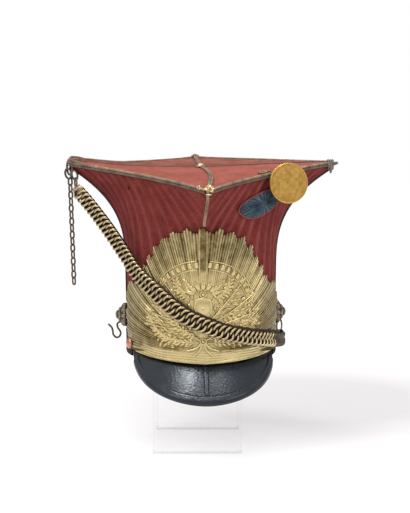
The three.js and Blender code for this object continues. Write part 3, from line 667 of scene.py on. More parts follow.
def corner_cords():
    top = float(crown_top(0.0))
    z = np.linspace(top - 3, RIM_Z + 151, 24)
    wall = off_crown(0.0, z, 1.7)
    wall[:, 0] -= 2.2 * smoothstep(-z, 3 - top, -RIM_Z - 151)
    edge = float(board_top(0, -BOARD_REACH))
    start = [[0, -BOARD_REACH - 1.4, edge - 0.6], [0, -BOARD_REACH - 1.2, edge - 3.2]]
    shape = Shape()
    rope(shape, smooth_path(np.concatenate([start, wall]), 6), [0, -1, 0], 1.75, 6.5, groove=0.28, tone=0.9)
    piece("corner_braid_front", shape, CORD, ["corner_cord_front"])
    for name, turn, bottom, out in (
        ("left", -QUARTER, RIM_Z + 59, 1.25),
        ("right", QUARTER, RIM_Z + 61, 1.25),
        ("back", math.pi, BAND["top"] + 1, 0.9),
    ):
        z = np.linspace(float(crown_top(turn)) - 1, bottom, 70)
        shape = Shape()
        rope(shape, off_crown(turn, z, out), facing(turn), 1.15, 3.6, groove=0.18)
        piece(f"corner_piping_{name}", shape, PIPING, [f"corner_cord_{name}"])


def board_trim():
    button = [(0.3, 0), (5.4, 0), (5.8, 0.5), (5.5, 1.1), (4.8, 1.5)]
    button += [(4.3, 2.3), (3.0, 3.4), (1.5, 3.9), (0.2, 4.05)]

    def petals(turn, radius):
        return 1 + 0.05 * np.cos(8 * turn) * (radius > 4.5)

    shades = [0.2, 0.3, 0.8, 0.4, 0.2, 0.5, 0.8, 0.9, 1]
    shape = lathe(button, 40, [0, 0, board_top(0, 0) + 0.9], UP, shades, petals)
    piece("gilt_button", shape, ROSE_GILT, ["top_button"])
    front_knot()
    x = 3 - BOARD_REACH
    shape = Shape()
    wire_ring(shape, [x, 0, board_top(x, 0) - 7.4], [0, 0, 8.5], [3.2, -3.6, 0], 1.2, 48, 12)
    piece("corner_wrap_left", shape, IRON, ["corner_ring_left"])
    left_corner()
    right_corner()


def left_corner():
    """Three turns of cord that run on from both edges round the tip of the board."""
    shape = Shape()
    for rise, tone, reach in ((-3.4, 0.2, 0.1), (-0.6, 0.5, 0.12), (1.9, 0.35, 0.1)):
        path = []
        for from_tip in reach * np.array([1, 0.6, 0.2, -0.2, -0.6, -1]):
            face, along = (3, from_tip) if from_tip > 0 else (2, 1 + from_tip)
            near = smoothstep(abs(from_tip), reach, 0.4 * reach)
            path.append(beside_edge(face, along, 1.5, lerp(-0.8, rise, near), 0.004))
        rope(shape, smooth_path(path), UP, 1.6, 6.5, 0.24, tone)
    core = np.array([3.6 - BOARD_REACH, 0, board_top(3.6 - BOARD_REACH, 0) - 0.6])
    drop(shape, core, 3.6 * RIGHT, 3.4 * BACK, 3.6 * UP, 10, 16, 0.4)
    piece("corner_cords_left", shape, CORD)


def right_corner():
    """Turns of cord round the corner, a knob at its tip and a short end that hangs down."""
    x = BOARD_REACH - 3
    top = board_top(x, 0) + 1.6
    shape = Shape()
    for along, tall in ((-3.2, 5.0), (-0.6, 5.6), (1.8, 4.8)):
        wrap(shape, [x + along, 0, top - tall], tall, (4.8 - 0.5 * along) * BACK)
    drop(shape, np.array([x - 0.4, 0, top - 5.0]), 4.4 * RIGHT, 4.2 * BACK, 4.6 * UP, 10, 16, 0.4)
    drop(shape, np.array([x + 5.2, 0, top - 3.4]), np.array([3.4, 0, 0.6]), 2.0 * BACK, 2.0 * UP, 8, 12, 0.6)
    end = smooth_path([[x - 1, -1, top - 9], [x + 0.2, -1.5, top - 12], [x - 1.0, -1.5, top - 14.5]])
    rope(shape, end, BACK, 1.3, 3.6, strands=3)
    piece("corner_wrap_right", shape, GREY_CORD, ["corner_ring_right"])


def front_knot():
    """A gilt cord knot over the tip of the board, with a loop on its left and a short end on its right."""
    x, y = 1.8, -148.4
    middle = np.array([x, y, board_top(x, y) + 0.5])
    shape = Shape()
    drop(shape, middle, 3.0 * UP, 3.1 * RIGHT, 3.0 * BACK, 10, 20, 0.3)
    for turn in np.radians([90, 210, 330]):
        axis, a, b = axes_of([0.82 * math.cos(turn), -0.57, 0.82 * math.sin(turn)])
        cord_ring(shape, middle, 3.7 * a, 3.7 * b, axis, 1.1, 3.6, 60)
    for back in (4.0, 5.8):
        cord_ring(shape, middle + [0, back, 1.6], 3.3 * RIGHT, 2.2 * UP, BACK, 0.8, 3.0)
    cord_ring(shape, [0.6, -152.2, board_top(0, y) - 5.0], 2.7 * RIGHT, 2.5 * BACK, UP, 0.9, 3.0, tone=0.6)
    run = unit(board_edge(3, 0.96) - board_edge(3, 0.94))
    loop = beside_edge(3, 0.952, 2.6, 0.2)
    cord_ring(shape, loop, 2.5 * run, 1.5 * UP, np.cross(run, UP), 0.85, 3.0, tone=0.8)
    for face, along in ((3, (0.962, 0.975, 0.988)), (0, (0.075, 0.05, 0.025))):
        path = [*(beside_edge(face, share, 2.5, 0.2) for share in along), middle + [0, -2.2, -0.6]]
        rope(shape, smooth_path(path), UP, 0.95, 3.4, tone=0.7)
    piece("knot_front", shape, BRIGHT_GILT, ["front_knot"])


# Front plate


def ray_length(turn):
    """Length of the rays from the hub: longest at the sides, and cut off below by the plate's foot."""
    full = RAY_REACH["top"] + RAY_REACH["shoulder"] * off_middle(turn, 15, 50)
    full = full + RAY_REACH["side"] * off_middle(turn, 63, 82)
    low = np.abs(turn) > math.radians(95)
    length = full.copy()
    for _ in range(40):
        foot = plate_foot(PLATE_TURN + length * np.sin(turn) / PLATE_ARC_RADIUS) - PLATE_HUB_Z
        cut = (foot + GAP) / np.where(low, np.cos(turn), -1.0)
        length = np.where(low, np.minimum(full, lerp(length, cut, 0.7)), full)
    return length


ROD_STEPS = np.array([0.0, 2.1, 5.2])
RODS_PER_RAY = 5
COLUMNS_PER_RAY = 48
COLUMNS_BELOW = 180
LINE_PITCH = 2.7


def plate_details(along, up, rise, shade):
    """Adds the raised slot at the top of the plate and the lined band along its foot."""
    reach = np.hypot(along, up)
    rim = smoothstep(4.6 - np.abs(along), 0, 0.5) * (up > 0) * smoothstep(reach, 44, 47)
    slot = smoothstep(3.0 - np.abs(along), 0, 0.6) * rim
    rise, shade = lerp(rise, 1.6, rim), lerp(shade, 0.8, rim)
    rise, shade = lerp(rise, 0.7, slot), lerp(shade, 0.42, slot)
    from_foot = up + PLATE_HUB_Z - plate_foot(PLATE_TURN + along / PLATE_ARC_RADIUS) - GAP
    low_band = (1 - smoothstep(from_foot, 9, 15)) * (1 - smoothstep(np.abs(along), 58, 84))
    lines = 0.5 + 0.5 * np.cos(2 * math.pi * (from_foot + 0.5 * np.sin(along / 9)) / LINE_PITCH)
    rise = lerp(rise, 0.3 + 0.3 * lines + 0.5 * (from_foot < 2), low_band)
    shade = lerp(shade, 0.55 + 0.36 * lines, low_band)
    return rise, shade


def plate_painted_light(along, up):
    """Painted light on the brass: painted shade at the top, under the overhanging board, darker at the lower
    left, and brighter at the upper right as painted light.
    """
    painted_light = 1 - 0.4 * smoothstep(up, 22, 72)
    painted_light -= 0.12 * smoothstep(20 - np.abs(along - 16), 0, 10) * smoothstep(up, 34, 56)
    painted_light += 0.32 * smoothstep(along, 28, 46) * smoothstep(up, 6, 26) * (1 - smoothstep(up, 46, 66))
    painted_light -= 0.06 * smoothstep(-along, 28, 52) * smoothstep(-up, 6, 30)
    return painted_light


def plate():
    """A burst of rays, each a bundle of fluted rods, over a lined band along the foot."""
    step = 2 * RAY_SPREAD / (RAY_COUNT - 1)
    last = RAY_SPREAD + step / 2
    rays = -last + (np.arange(RAY_COUNT * COLUMNS_PER_RAY) + 0.5) * step / COLUMNS_PER_RAY
    turn = np.concatenate([rays, np.linspace(last, 2 * math.pi - last, COLUMNS_BELOW, endpoint=False)])
    upright = np.arctan2(np.sin(turn), np.cos(turn))
    place = (upright + RAY_SPREAD) / step
    ray = np.clip(np.round(place), 0, RAY_COUNT - 1).astype(int)
    beside = place - ray
    rod = np.clip(np.round(beside * RODS_PER_RAY), -2, 2).astype(int)
    within = beside * RODS_PER_RAY - rod
    rayed = np.abs(upright) < last - 1e-6
    random = np.random.default_rng(11)
    uneven = random.uniform(-1.8, 0.8, (RAY_COUNT, RODS_PER_RAY))[ray, rod + 2]
    full = random.uniform(0.45, 1.35, (RAY_COUNT, RODS_PER_RAY))[ray, rod + 2]
    tip = uneven - ROD_STEPS[np.abs(rod)] - 1.5 * (2 * within) ** 2
    spoke = ray_length(upright)[:, None] * np.stack([np.sin(upright), np.cos(upright)], -1) - [0, RAY_ROOT]
    length = np.linalg.norm(spoke, axis=-1) + np.where(rayed, tip, 0.0)
    spoke = unit(spoke)
    tips = [0.965, 0.985, 0.996, 1.0]
    share = np.concatenate([np.linspace(0.012, 0.3, 8), np.linspace(0.33, 0.94, 26), tips])[:, None]
    out = share * length[None]
    along, up = out * spoke[:, 0], RAY_ROOT + out * spoke[:, 1]
    reach = np.hypot(along, up)
    grow = np.clip(reach / 66, 0.3, 1) * smoothstep(out, 8, 30)
    ridge, fine = np.abs(np.cos(np.pi * within)), np.abs(np.cos(2 * np.pi * within))
    at_side = off_middle(upright, 66, 80)
    ridge = lerp(ridge, np.sqrt(ridge) * (0.2 + 0.8 * fine), at_side)[None]
    at_top = 1 - off_middle(upright, 25, 50)
    tone = lerp(ridge, 0.35 + 0.65 * ridge, at_top)
    arch = np.clip(1 - np.abs(2 * beside) ** 3, 0, 1)[None]
    flutes = (0.85 + 0.5 * at_side) * full * ridge**0.8 * (0.55 + 0.45 * arch)
    rise = np.where(rayed, grow * (flutes + 0.55 * arch), 0.0)
    # The shade is low between the rods and towards the edges of each ray: patina in the hollows with painted
    # shade
    shade = np.where(rayed, 0.06 + 0.9 * tone * (0.4 + 0.6 * full) * (0.4 + 0.6 * arch), 0.62)
    shade = lerp(0.68, shade, np.clip(smoothstep(reach, 20, 60), 0.3, 1))
    rise, shade = plate_details(along, up, rise, shade)
    rise = rise * np.ones_like(reach)
    rise[-3:] *= column(0.85, 0.55, 0.2)
    front = plate_point(along, up, PLATE_FACE + rise)
    back = column(1.0, 0.985, 0.9, 0.75, 0.6, 0.45, 0.3, 0.15, 0.012) * length
    back = plate_point(back * spoke[:, 0], RAY_ROOT + back * spoke[:, 1], PLATE_STAND_OFF)
    shade = shade * plate_painted_light(along, up) * np.ones_like(reach)
    shades = np.concatenate([shade, np.full(back.shape[:2], 0.4)])
    piece("sunburst", Shape(np.concatenate([front, back]), shades), BRASS, ["front_plate"], 70)


def on_plate(along, up, height):
    return plate_point(along, up, PLATE_FACE + height)


def leaf(shape, along, up, turn, long, wide, height):
    """A pointed leaf with a sunk midrib, lying on the plate."""
    share = np.linspace(-1, 1, 9)[:, None]
    ring = full_turn(12)[None]
    width = wide * np.maximum(0.03, (1 - np.abs(share) ** 1.8)) * (1 - 0.25 * share)
    across, lift = np.cos(ring) * width, np.sin(ring)
    top = height * np.maximum(0.05, 1 - np.abs(share) ** 2) * np.where(lift > 0, lift, 0.35 * lift)
    top = top * (1 - 0.35 * np.exp(-((across / (0.22 * wide)) ** 2)))
    a = along + share * long * math.sin(turn) + across * math.cos(turn)
    b = up + share * long * math.cos(turn) - across * math.sin(turn)
    shape.sheet(on_plate(a, b, 0.3 + top), 0.32 + 0.68 * np.clip(top / height, 0, 1))


def bead_row(shape, radius, spread, count, long, wide, height):
    for turn in np.linspace(-spread, spread, count):
        if abs(radius * math.sin(turn)) < 6:
            continue
        ring = full_turn(20)[None]
        share = column(1.0, 1.0, 0.86, 0.5, 0.05)
        lift = column(-0.5, 0.6, 0.95, 1.0, 1.0)
        square = (np.abs(np.cos(ring)) ** 6 + np.abs(np.sin(ring)) ** 6) ** (-1 / 6)
        a, b = share * square * np.cos(ring) * wide, share * square * np.sin(ring) * long
        along = radius * math.sin(turn) + a * math.cos(turn) + b * math.sin(turn)
        up = radius * math.cos(turn) - a * math.sin(turn) + b * math.cos(turn)
        shape.sheet(on_plate(along, up, lift * height), np.clip(lift, 0.1, 1))


def band_on_plate(shape, points, width, height, lift=0.0):
    """A raised band along a smooth line on the plate."""
    line = smooth_path([(a, b, 0) for a, b in points], 16)
    tangent = unit(np.gradient(line, axis=0))
    side = np.stack([-tangent[:, 1], tangent[:, 0]], -1)
    ring = full_turn(14)[None]
    width = np.broadcast_to(np.asarray(width, float), len(line))[:, None]
    across, rise = np.cos(ring) * width / 2, np.sin(ring)
    top = height * np.where(rise > 0, rise, 0.3 * rise)
    a, b = line[:, :1] + side[:, :1] * across, line[:, 1:2] + side[:, 1:] * across
    shape.sheet(on_plate(a, b, lift + top), 0.1 + 0.9 * np.clip(top / height, 0, 1) * np.ones_like(a))


def rosette(shape, along, up, radius, petals, height):
    """A small round flower on the plate."""
    turn = full_turn(8 * petals)[None]
    share = column(1, 1, 0.85, 0.6, 0.42, 0.34, 0.2, 0.02)
    lift = column(-0.4, 0.4, 0.8, 0.7, 0.35, 0.8, 1.05, 1.1)
    out = radius * share * (1 - 0.3 * (share > 0.5) * (1 - np.abs(np.cos(petals / 2 * turn))))
    a, b = along + out * np.cos(turn), up + out * np.sin(turn)
    shape.sheet(on_plate(a, b, height * lift), np.clip(lift, 0.1, 1))


def foliage(shape):
    """Small overlapping leaves that fan out on both sides of the shield."""
    random = np.random.default_rng(5)
    for side in (-1, 1):
        for radius in np.arange(14, 60, 4.6):
            for turn in np.linspace(math.radians(26), math.radians(138), int(radius * 0.37)):
                a, b = radius * math.sin(turn), radius * math.cos(turn) - 2
                jitter = random.uniform(-1, 1, 5)
                if b < -36 or (radius > 46 and turn < math.radians(66)):
                    continue
                lean = turn + 0.7 * math.sin(radius / 6 + 2 * turn) + 0.45 * jitter[0]
                a, b = side * (a + 1.2 * jitter[4]), b + 1.2 * jitter[1]
                long, wide, height = 3.8 + 0.9 * jitter[1], 1.6 + 0.35 * jitter[2], 1.8 + 0.5 * jitter[3]
                leaf(shape, a, b, side * lean, long, wide, height)


def shield(shape):
    turn = full_turn(72)[None]
    share = column(1.0, 1.0, 0.95, 0.86, 0.8, 0.6, 0.3, 0.03)
    lift = column(-0.5, 1.0, 1.7, 1.75, 1.0, 1.3, 1.6, 1.7)
    rise, side = np.cos(turn), np.sin(turn)
    wide = 9 * np.sign(side) * np.abs(side) ** 0.75 * np.where(rise < 0, 1 + 0.32 * rise, 1.0)
    tall = 12 * np.where(rise > 0, np.abs(rise) ** 0.55, rise)
    shape.sheet(on_plate(share * wide, 6 + share * tall, 0.6 + lift), np.clip(lift / 2, 0.05, 1))


def sprig(shape, points, long, wide, height, pitch):
    """A stem with pairs of leaves along it."""
    band_on_plate(shape, points, 1.4, 1.1, 0.3)
    line = resample(smooth_path([(a, b, 0) for a, b in points]), pitch)
    tangent = unit(np.gradient(line, axis=0))
    for spot, run in zip(line[1:], tangent[1:]):
        lean = math.atan2(run[0], run[1])
        for spread in (-0.62, 0.62):
            turn = lean + spread
            a, b = spot[0] + 0.92 * long * math.sin(turn), spot[1] + 0.92 * long * math.cos(turn)
            leaf(shape, a, b, turn, long, wide, height)


def plate_relief():
    """Generic ornament in the middle of the plate: shield, leaves, staffs, sprays and a bow."""
    shape = Shape()
    bead_row(shape, 53, math.radians(62), 19, 3.2, 1.7, 2.0)
    for radius in (48.4, 57.6):
        for side in (-1, 1):
            turn = np.linspace(math.radians(6), math.radians(64), 10) * side
            band_on_plate(shape, list(zip(radius * np.sin(turn), radius * np.cos(turn))), 1.5, 1.5, 0.6)
    shield(shape)
    rosette(shape, 0, 6, 4.2, 6, 2.6)
    for turn in np.radians([-78, -52, -26, 0, 26, 52, 78]):
        leaf(shape, 13 * math.sin(turn), 21 + 10 * math.cos(turn), turn, 6.5, 2.6, 2.2)
    rosette(shape, 0, 21, 4.4, 8, 2.4)
    foliage(shape)
    for side in (-1, 1):
        mirror = np.array([side, 1])
        for staff in ([(8, -6), (40, 33)], [(9, -10), (52, 18)], [(9, -14), (60, 1)], [(9, -18), (61, -14)]):
            foot, head = mirror * staff
            band_on_plate(shape, [foot, (foot + head) / 2, head], 1.7, 1.3, 1.1)
            lean = math.atan2(*(head - foot))
            leaf(shape, *(head + 4 * unit(head - foot)), lean, 5.0, 1.9, 2.0)
        for stem, long, wide, pitch in (
            ([(5, -29), (20, -31), (36, -28), (50, -20), (60, -8)], 4.2, 1.7, 4.2),
            ([(4, -25), (13, -23), (23, -17), (30, -7)], 3.8, 1.6, 3.9),
            ([(10, 15), (18, 19), (25, 26), (27, 34)], 3.4, 1.5, 3.6),
        ):
            sprig(shape, mirror * stem, long, wide, 2.0, pitch)
        flowers = ((17, 8, 3.6), (24, -1, 3.0), (45, 24, 3.4), (47, 29, 2.6), (15, -33, 3.2), (30, -35, 2.8))
        for along, up, radius in flowers:
            rosette(shape, side * along, up, radius, 6, 2.0)
        for bow, width, height, lift in (
            ([(3, -28), (10, -24), (12, -30), (4, -31)], 2.6, 2.0, 0.6),
            ([(2, -31), (7, -37), (15, -40)], 3.0, 1.6, 0.4),
            ([(1, -32), (4, -40), (9, -45)], 2.6, 1.5, 0.3),
        ):
            band_on_plate(shape, mirror * bow, width, height, lift)
    rosette(shape, 0, -29.5, 4.4, 8, 2.6)
    piece("plate_relief", shape, BRASS, (), 60)


def rivet():
    turn = math.radians(-63.3)
    foot = off_crown(turn, RIM_Z + 15, PLATE_FACE + 1.1 + GAP)
    profile = [(0.2, 0), (5.5, 0), (6.0, 0.4), (6.0, 0.95), (5.4, 1.9)]
    profile += [(4.3, 2.85), (2.9, 3.5), (1.3, 3.8), (0.1, 3.85)]
    shape = lathe(profile, 32, foot, facing(turn), [0.1, 0.1, 0.3, 0.5, 0.7, 0.8, 0.9, 1, 1])
    piece("rivet", shape, COPPER, ["plate_rivet"])


# Peak and head band


def peak():
    across = np.linspace(-0.985, 0.985, 129)[:, None]
    out = np.concatenate([np.linspace(0, 0.96, 22), [0.985, 1.0]])[None]
    top = peak_point(across, out)
    under = top - PEAK["deep"] * UP
    under[:, -1] += 0.5 * UP
    top[:, -1] -= 0.5 * UP
    piece("peak_leather", Shape(np.concatenate([top, under[:, ::-1]], 1)), LEATHER, ["peak"])


def peak_frame(across):
    edge, inner = peak_point(across, 1.0), peak_point(across, 0.0)
    slope = unit(edge - peak_point(across, 0.9))
    return edge, slope, np.linalg.norm(edge - inner, axis=-1)


def peak_binding():
    across = np.linspace(-PEAK["binding_end"], PEAK["binding_end"], 161)
    edge, slope, wide = peak_frame(across)
    leg = np.minimum(6.5, 0.75 * wide)
    low, high = -PEAK["deep"] - 1.7, 1.7
    turn = np.linspace(QUARTER, -QUARTER, 9)
    bow = np.stack([0.5 + 1.4 * np.cos(turn), (low + high) / 2 + (high - low) / 2 * np.sin(turn)], -1)
    outer = [(-1.0, high - 0.5), (-0.92, high - 0.05), (-0.5, high), (-0.1, high), *[(None, p) for p in bow]]
    outer += [(-0.1, low), (-0.92, low + 0.05), (-1.0, low + 0.5), (-1.0, low + 1.0), (-0.3, low + 1.0)]
    outer += [(None, (0.7, low + 1.0)), (None, (0.7, high - 1.0)), (-0.3, high - 1.0), (-1.0, high - 1.0)]
    sections = []
    for share, rest in outer:
        if share is None:
            sections.append(edge + rest[0] * slope + rest[1] * UP)
        else:
            sections.append(edge + (share * leg)[:, None] * slope + rest * UP)
    piece("peak_edge", Shape(np.stack(sections, 1)), LEATHER, ["peak_binding"], 60)
    stitches = Shape()
    path = edge + (-0.8 * leg)[:, None] * slope + (high + 0.05) * UP
    sew(stitches, path[8:-8], UP, 3.4, 0.36)
    piece("peak_stitches", stitches, STITCH)


def sew(shape, path, hint, pitch, radius):
    path = resample(path, pitch / 2)
    tangent, normal, side = frames(path, hint)
    for i in range(0, len(path), 2):
        drop(shape, path[i], tangent[i] * pitch * 0.36, side[i] * radius, normal[i] * radius, 6, 8)


def peak_seam():
    """A narrow leather strip down the middle of the peak, between two sunk seams with their stitches."""
    path = peak_point(0.0, np.linspace(0.06, 0.82, 30))
    normal = -np.cross([1.0, 0.0, 0.0], unit(path[-1] - path[0]))
    strip, lines = Shape(), Shape()
    sweep(strip, path + 0.25 * normal, normal, rounded(5.6, 0.8, 0.35))
    for beside in (-2.1, 2.1):
        seam = path + beside * RIGHT
        sweep(lines, seam + 0.5 * normal, normal, rounded(0.9, 0.7, 0.3))
        sew(lines, seam + 0.8 * normal, normal, 3.0, 0.3)
    piece("peak_middle_seam", strip, LEATHER, ["peak_seam"])
    piece("peak_seam_lines", lines, SEAM_LEATHER)


def wall_strip(turn, outline):
    """A strip round the wall, from the heights of its outline and their distances from the wall."""
    return Shape(np.stack([around(turn, crown_radius(turn, z) + out, z) for z, out in outline], 1))


def front_rim():
    """The foot of the wall behind the plate and the peak, faced with thin leather."""
    turn = np.radians(np.linspace(-68, 68, 90))
    low, high = RIM_Z + 0.2, plate_foot(turn) + 2.0
    outline = [(share, out) for out, run in ((0.1, (1, 0.5, 0)), (0.45, (0, 0.5, 1))) for share in run]
    heights = [(lerp(low, high, share), out) for share, out in outline]
    piece("rim_facing", wall_strip(turn, heights), BAND_LEATHER)


def head_band():
    turn = np.linspace(BAND["from"], 2 * math.pi - BAND["from"], 150)
    low, high, off, thick = BAND["bottom"], BAND["top"], BAND["off"], BAND["thick"]
    edge = [(0.1, off + 0.4), (0.0, off + 1.0), (0.3, off + thick - 0.2), (1.0, off + thick)]
    outline = [(low + up, out) for up, out in edge]
    outline += [(lerp(low, high, share), off + thick) for share in (0.2, 0.4, 0.6, 0.8)]
    outline += [(high - down, out) for down, out in edge[::-1]] + [(high - 1.0, off), (low + 1.0, off)]
    piece("leather_band", wall_strip(turn, outline), BAND_LEATHER, ["head_band"])
    stitches = Shape()
    for z in (low + 2.6, high - 2.6):
        path = around(turn, crown_radius(turn, z) + off + thick + 0.05, np.full_like(turn, z))
        sew(stitches, path[2:-2], UP, 3.6, 0.38)
    piece("band_stitches", stitches, STITCH)


# Bosses, rings and chains


BOSS_PETALS = 8
BOSS_PROFILE = [(0.4, 0), (12.0, 0), (13.4, 1.0), (13.8, 3.0), (13.2, 5.0), (11.8, 6.4)]
BOSS_PROFILE += [(10.4, 6.9), (9.4, 7.0), (8.8, 7.4), (8.9, 8.6), (8.4, 9.8), (7.4, 10.5)]
BOSS_PROFILE += [(6.2, 10.6), (5.2, 10.9), (4.9, 12.0), (3.8, 13.2), (2.2, 13.9), (0.3, 14.1)]
BOSS_SHADES = [0.2, 0.2, 0.4, 0.6, 0.8, 0.7, 0.4, 0.1, 0.1, 0.5, 0.8, 0.7, 0.2, 0.1, 0.5, 0.8, 0.9, 0.9]


def boss_petals(turn, radius):
    """Two rings of petals, the inner ones between the outer ones."""
    wave = np.cos(BOSS_PETALS * turn)
    outer = 0.1 * (1 - wave) * smoothstep(radius, 9.2, 10.5)
    inner = 0.09 * (1 + wave) * smoothstep(radius, 5.3, 6.4) * (radius < 9.2)
    return 1 - outer - inner


def bosses():
    for name, side, up in (("left", -1, 41.5), ("right", 1, 44)):
        turn = side * math.radians(93)
        z = RIM_Z + up
        foot = around(turn, crown_radius(turn, z) + 0.6, z)
        shape = lathe(BOSS_PROFILE, 112, foot, facing(turn), BOSS_SHADES, boss_petals)
        axis, across, third = axes_of(facing(turn))
        for part in np.arange(BOSS_PETALS) / BOSS_PETALS * 2 * math.pi + math.pi / BOSS_PETALS:
            out = math.cos(part) * across + math.sin(part) * third
            vein, width = foot + 11.2 * out + 6.2 * axis, 0.5 * np.cross(axis, out)
            drop(shape, vein, 2.2 * out - 1.2 * axis, width, 0.8 * axis, 6, 8, 0.7)
        piece(f"rosette_{name}", shape, BOSS_BRONZE, [f"boss_{name}"])


def side_fittings():
    bends = [(-90.9, 33.6), (-95, 31.6), (-95, 26.5), (-92, 22), (-92, 18)]
    bends += [(-95.5, 15), (-99.5, 17.5), (-101.5, 26), (-105, 30)]
    path = resample(smooth_path([(x, 4.5, RIM_Z + up) for x, up in bends]), 0.8)
    shape = Shape()
    sweep(shape, path, [0, 1, 0], circle(1.2, 12), 0.5)
    drop(shape, path[-1], 1.5 * unit(path[-1] - path[-3]), 1.3 * BACK, np.array([0.9, 0, 0.9]), 8, 12)
    piece("hook_left", shape, IRON, ["side_hook"])
    shape = Shape()
    # Painted highlight: the lower half of the ring is brighter
    lower_highlight = 0.55 - 0.45 * np.cos(full_turn(48))[:, None]
    wire_ring(shape, [90.2, 3, RIM_Z + 27.4], [0, 0, 8], [3.2, 3.8, 0], 1.1, 48, 12, lower_highlight)
    piece("ring_right", shape, BRONZE, ["strap_ring"])
    loop = oval(np.array([91.2, -0.8, RIM_Z + 18.6]), 6.6 * BACK, 2.6 * RIGHT, 48)
    shape = Shape()
    sweep(shape, loop, UP, rounded(1.3, 9.0, 0.6), 0.0, True)
    piece("strap_loop", shape, BAND_LEATHER)


# The strap's line: angle in degrees, height over the rim, distance from the wall
CHIN_ROUTE = [
    (-87.2, 188.6, 26.4), (-81.5, 168, 28), (-74.5, 150.5, 24), (-66, 131.5, 17), (-56.5, 113.5, 10.6),
    (-46.5, 98, 7.4), (-35, 85.5, 6.9), (-21, 70, 6.8), (-12, 59, 6.8), (-0.5, 48.5, 6.8), (11, 39.5, 6.8),
    (27.5, 30.5, 6.8), (41.5, 26, 6.8), (58, 21.5, 6.8), (72, 18.5, 6.8), (86, 16.5, 6.8),
]


def chin_points():
    points = []
    for angle, up, away in CHIN_ROUTE:
        turn = math.radians(angle)
        points.append(around(turn, crown_radius(turn, RIM_Z + up) + away, RIM_Z + up))
    return np.array(points)


def chin_line():
    return resample(smooth_path(chin_points(), 40), 0.5)


# By the length along the strap in millimetres: places across it, and the links' share of their usual width
CHIN_PROFILE = {
    "reach": (0, 40, 110, 160, 190, 215, 250, 282, 332, 360, 384),
    "chain": (0.5, 0.5, 0.8, 2.0, 4.4, 5.4, 4.6, 3.2, 2.3, 1.6, -0.8),
    "width": (1.1, 1.22, 1.3, 1.32, 1.24, 1.16, 1.14, 1.12, 1.12, 1.06, 0.74),
    "strap_top": (-5.0, -6.0, -6.6, -6.4, -5.2, -4.6, -5.4, -7.6, -8.6, -8.6, -7.6),
    "strap_bottom": (7.5, 10.0, 10.6, 11.2, 11.8, 12.0, 11.2, 9.6, 8.6, 7.6, 3.2),
}


def chin_value(name, reach):
    return np.interp(reach, CHIN_PROFILE["reach"], CHIN_PROFILE[name])


def chin_frames(path):
    """Directions off the strap's face and down across it, at every point of its line."""
    tangent = unit(np.gradient(path, axis=0))
    face = unit(np.cross(tangent, UP))
    return face, unit(np.cross(tangent, face))


def chin_sheet(path, aside, lift):
    """A strip along the strap's line, from places across it and off its face."""
    face, across = chin_frames(path)
    return Shape(path[:, None] + aside[..., None] * across[:, None] + lift[..., None] * face[:, None])


def chin_strap():
    path = chin_line()
    reach = length_of(path)
    tip = CHIN_TIP_SHARE * reach[-1]
    kept = np.flatnonzero(reach >= tip + 0.002 * reach[-1])[::4]
    top, bottom = chin_value("strap_top", reach[kept]), chin_value("strap_bottom", reach[kept])
    width = 14
    outline = rounded(width, 1.8, 0.8)
    aside = (top + bottom)[:, None] / 2 + outline[None, :, 0] / width * (bottom - top)[:, None]
    strap = chin_sheet(path[kept], aside, outline[None, :, 1])
    piece("strap", strap, STRAP_LEATHER, ["chin_strap"])
    path = path[reach <= tip][::2]
    share = np.linspace(0, 1, len(path))
    taper = (0.6 + 0.4 * np.sqrt(1 - (1 - np.clip(share / 0.5, 0, 1)) ** 2))[:, None, None]
    outline = ([1.2, 0] + rounded(13, 1.8, 0.8)[None]) * np.concatenate([taper, np.ones_like(taper)], -1)
    tab = chin_sheet(path, outline[..., 0], outline[..., 1])
    piece("strap_tab", tab, TAN_LEATHER, ["strap_tip"])


CURB = {"long": 4.75, "wide": 6.2, "twist": math.radians(56), "flat": 0.6, "wire": 1.32}
# The last stretch of chain, its length given here, is darkened as painted shade
CURB |= {"pitch": 6.0, "from": 0.014, "off": 3.85, "shaded_end": 54, "end_painted_shade": 0.45}


def curb_chain():
    """Twisted oval links that lie flat on the strap."""
    path = chin_line()
    reach = length_of(path)
    start = CURB["from"] * reach[-1] + CURB["long"]
    stops = np.arange(start, reach[-1] - CURB["long"], CURB["pitch"])
    face, across = chin_frames(path)
    middle = path + CURB["off"] * face + chin_value("chain", reach)[:, None] * across
    turn = full_turn(40)
    length_share, width_share = blunt(np.cos(turn)), blunt(np.sin(turn))
    twist = CURB["twist"] * length_share
    along = CURB["long"] * length_share
    side = CURB["wide"] * width_share * np.cos(0.6 * twist)
    lift = CURB["flat"] * CURB["wide"] * width_share * np.sin(twist)
    # Darker where the links lie against the strap and brighter on their raised strokes: painted shade and
    # highlight, with dirt
    toned = 0.1 + 0.9 * smoothstep(lift, -1.0, 1.4)
    bright, shaded_end = Shape(), Shape()
    for stop in stops:
        at = stop + along
        # Links on the last stretch go into a darker piece in grey bronze: painted shade
        is_bright = stop < reach[-1] - CURB["shaded_end"]
        shape, shade = (bright, toned) if is_bright else (shaded_end, CURB["end_painted_shade"] * toned)
        centre = between(at, reach, middle)
        out, beside = (unit(between(at, reach, values)) for values in (face, across))
        ring = centre + chin_value("width", stop) * side[:, None] * beside + lift[:, None] * out
        sweep(shape, ring, unit(ring - ring.mean(0)), circle(CURB["wire"], 9), shade[:, None], True)
    piece("curb_chain", bright, BRONZE, ["chin_chain"])
    piece("curb_chain_end", shaded_end, IRON)


CORNER_RING_DROP = 15.9
LINK = {"length": 10.4, "width": 7.9, "wire": 1.05, "pitch": 7.5}
HANGING_LINKS = 17


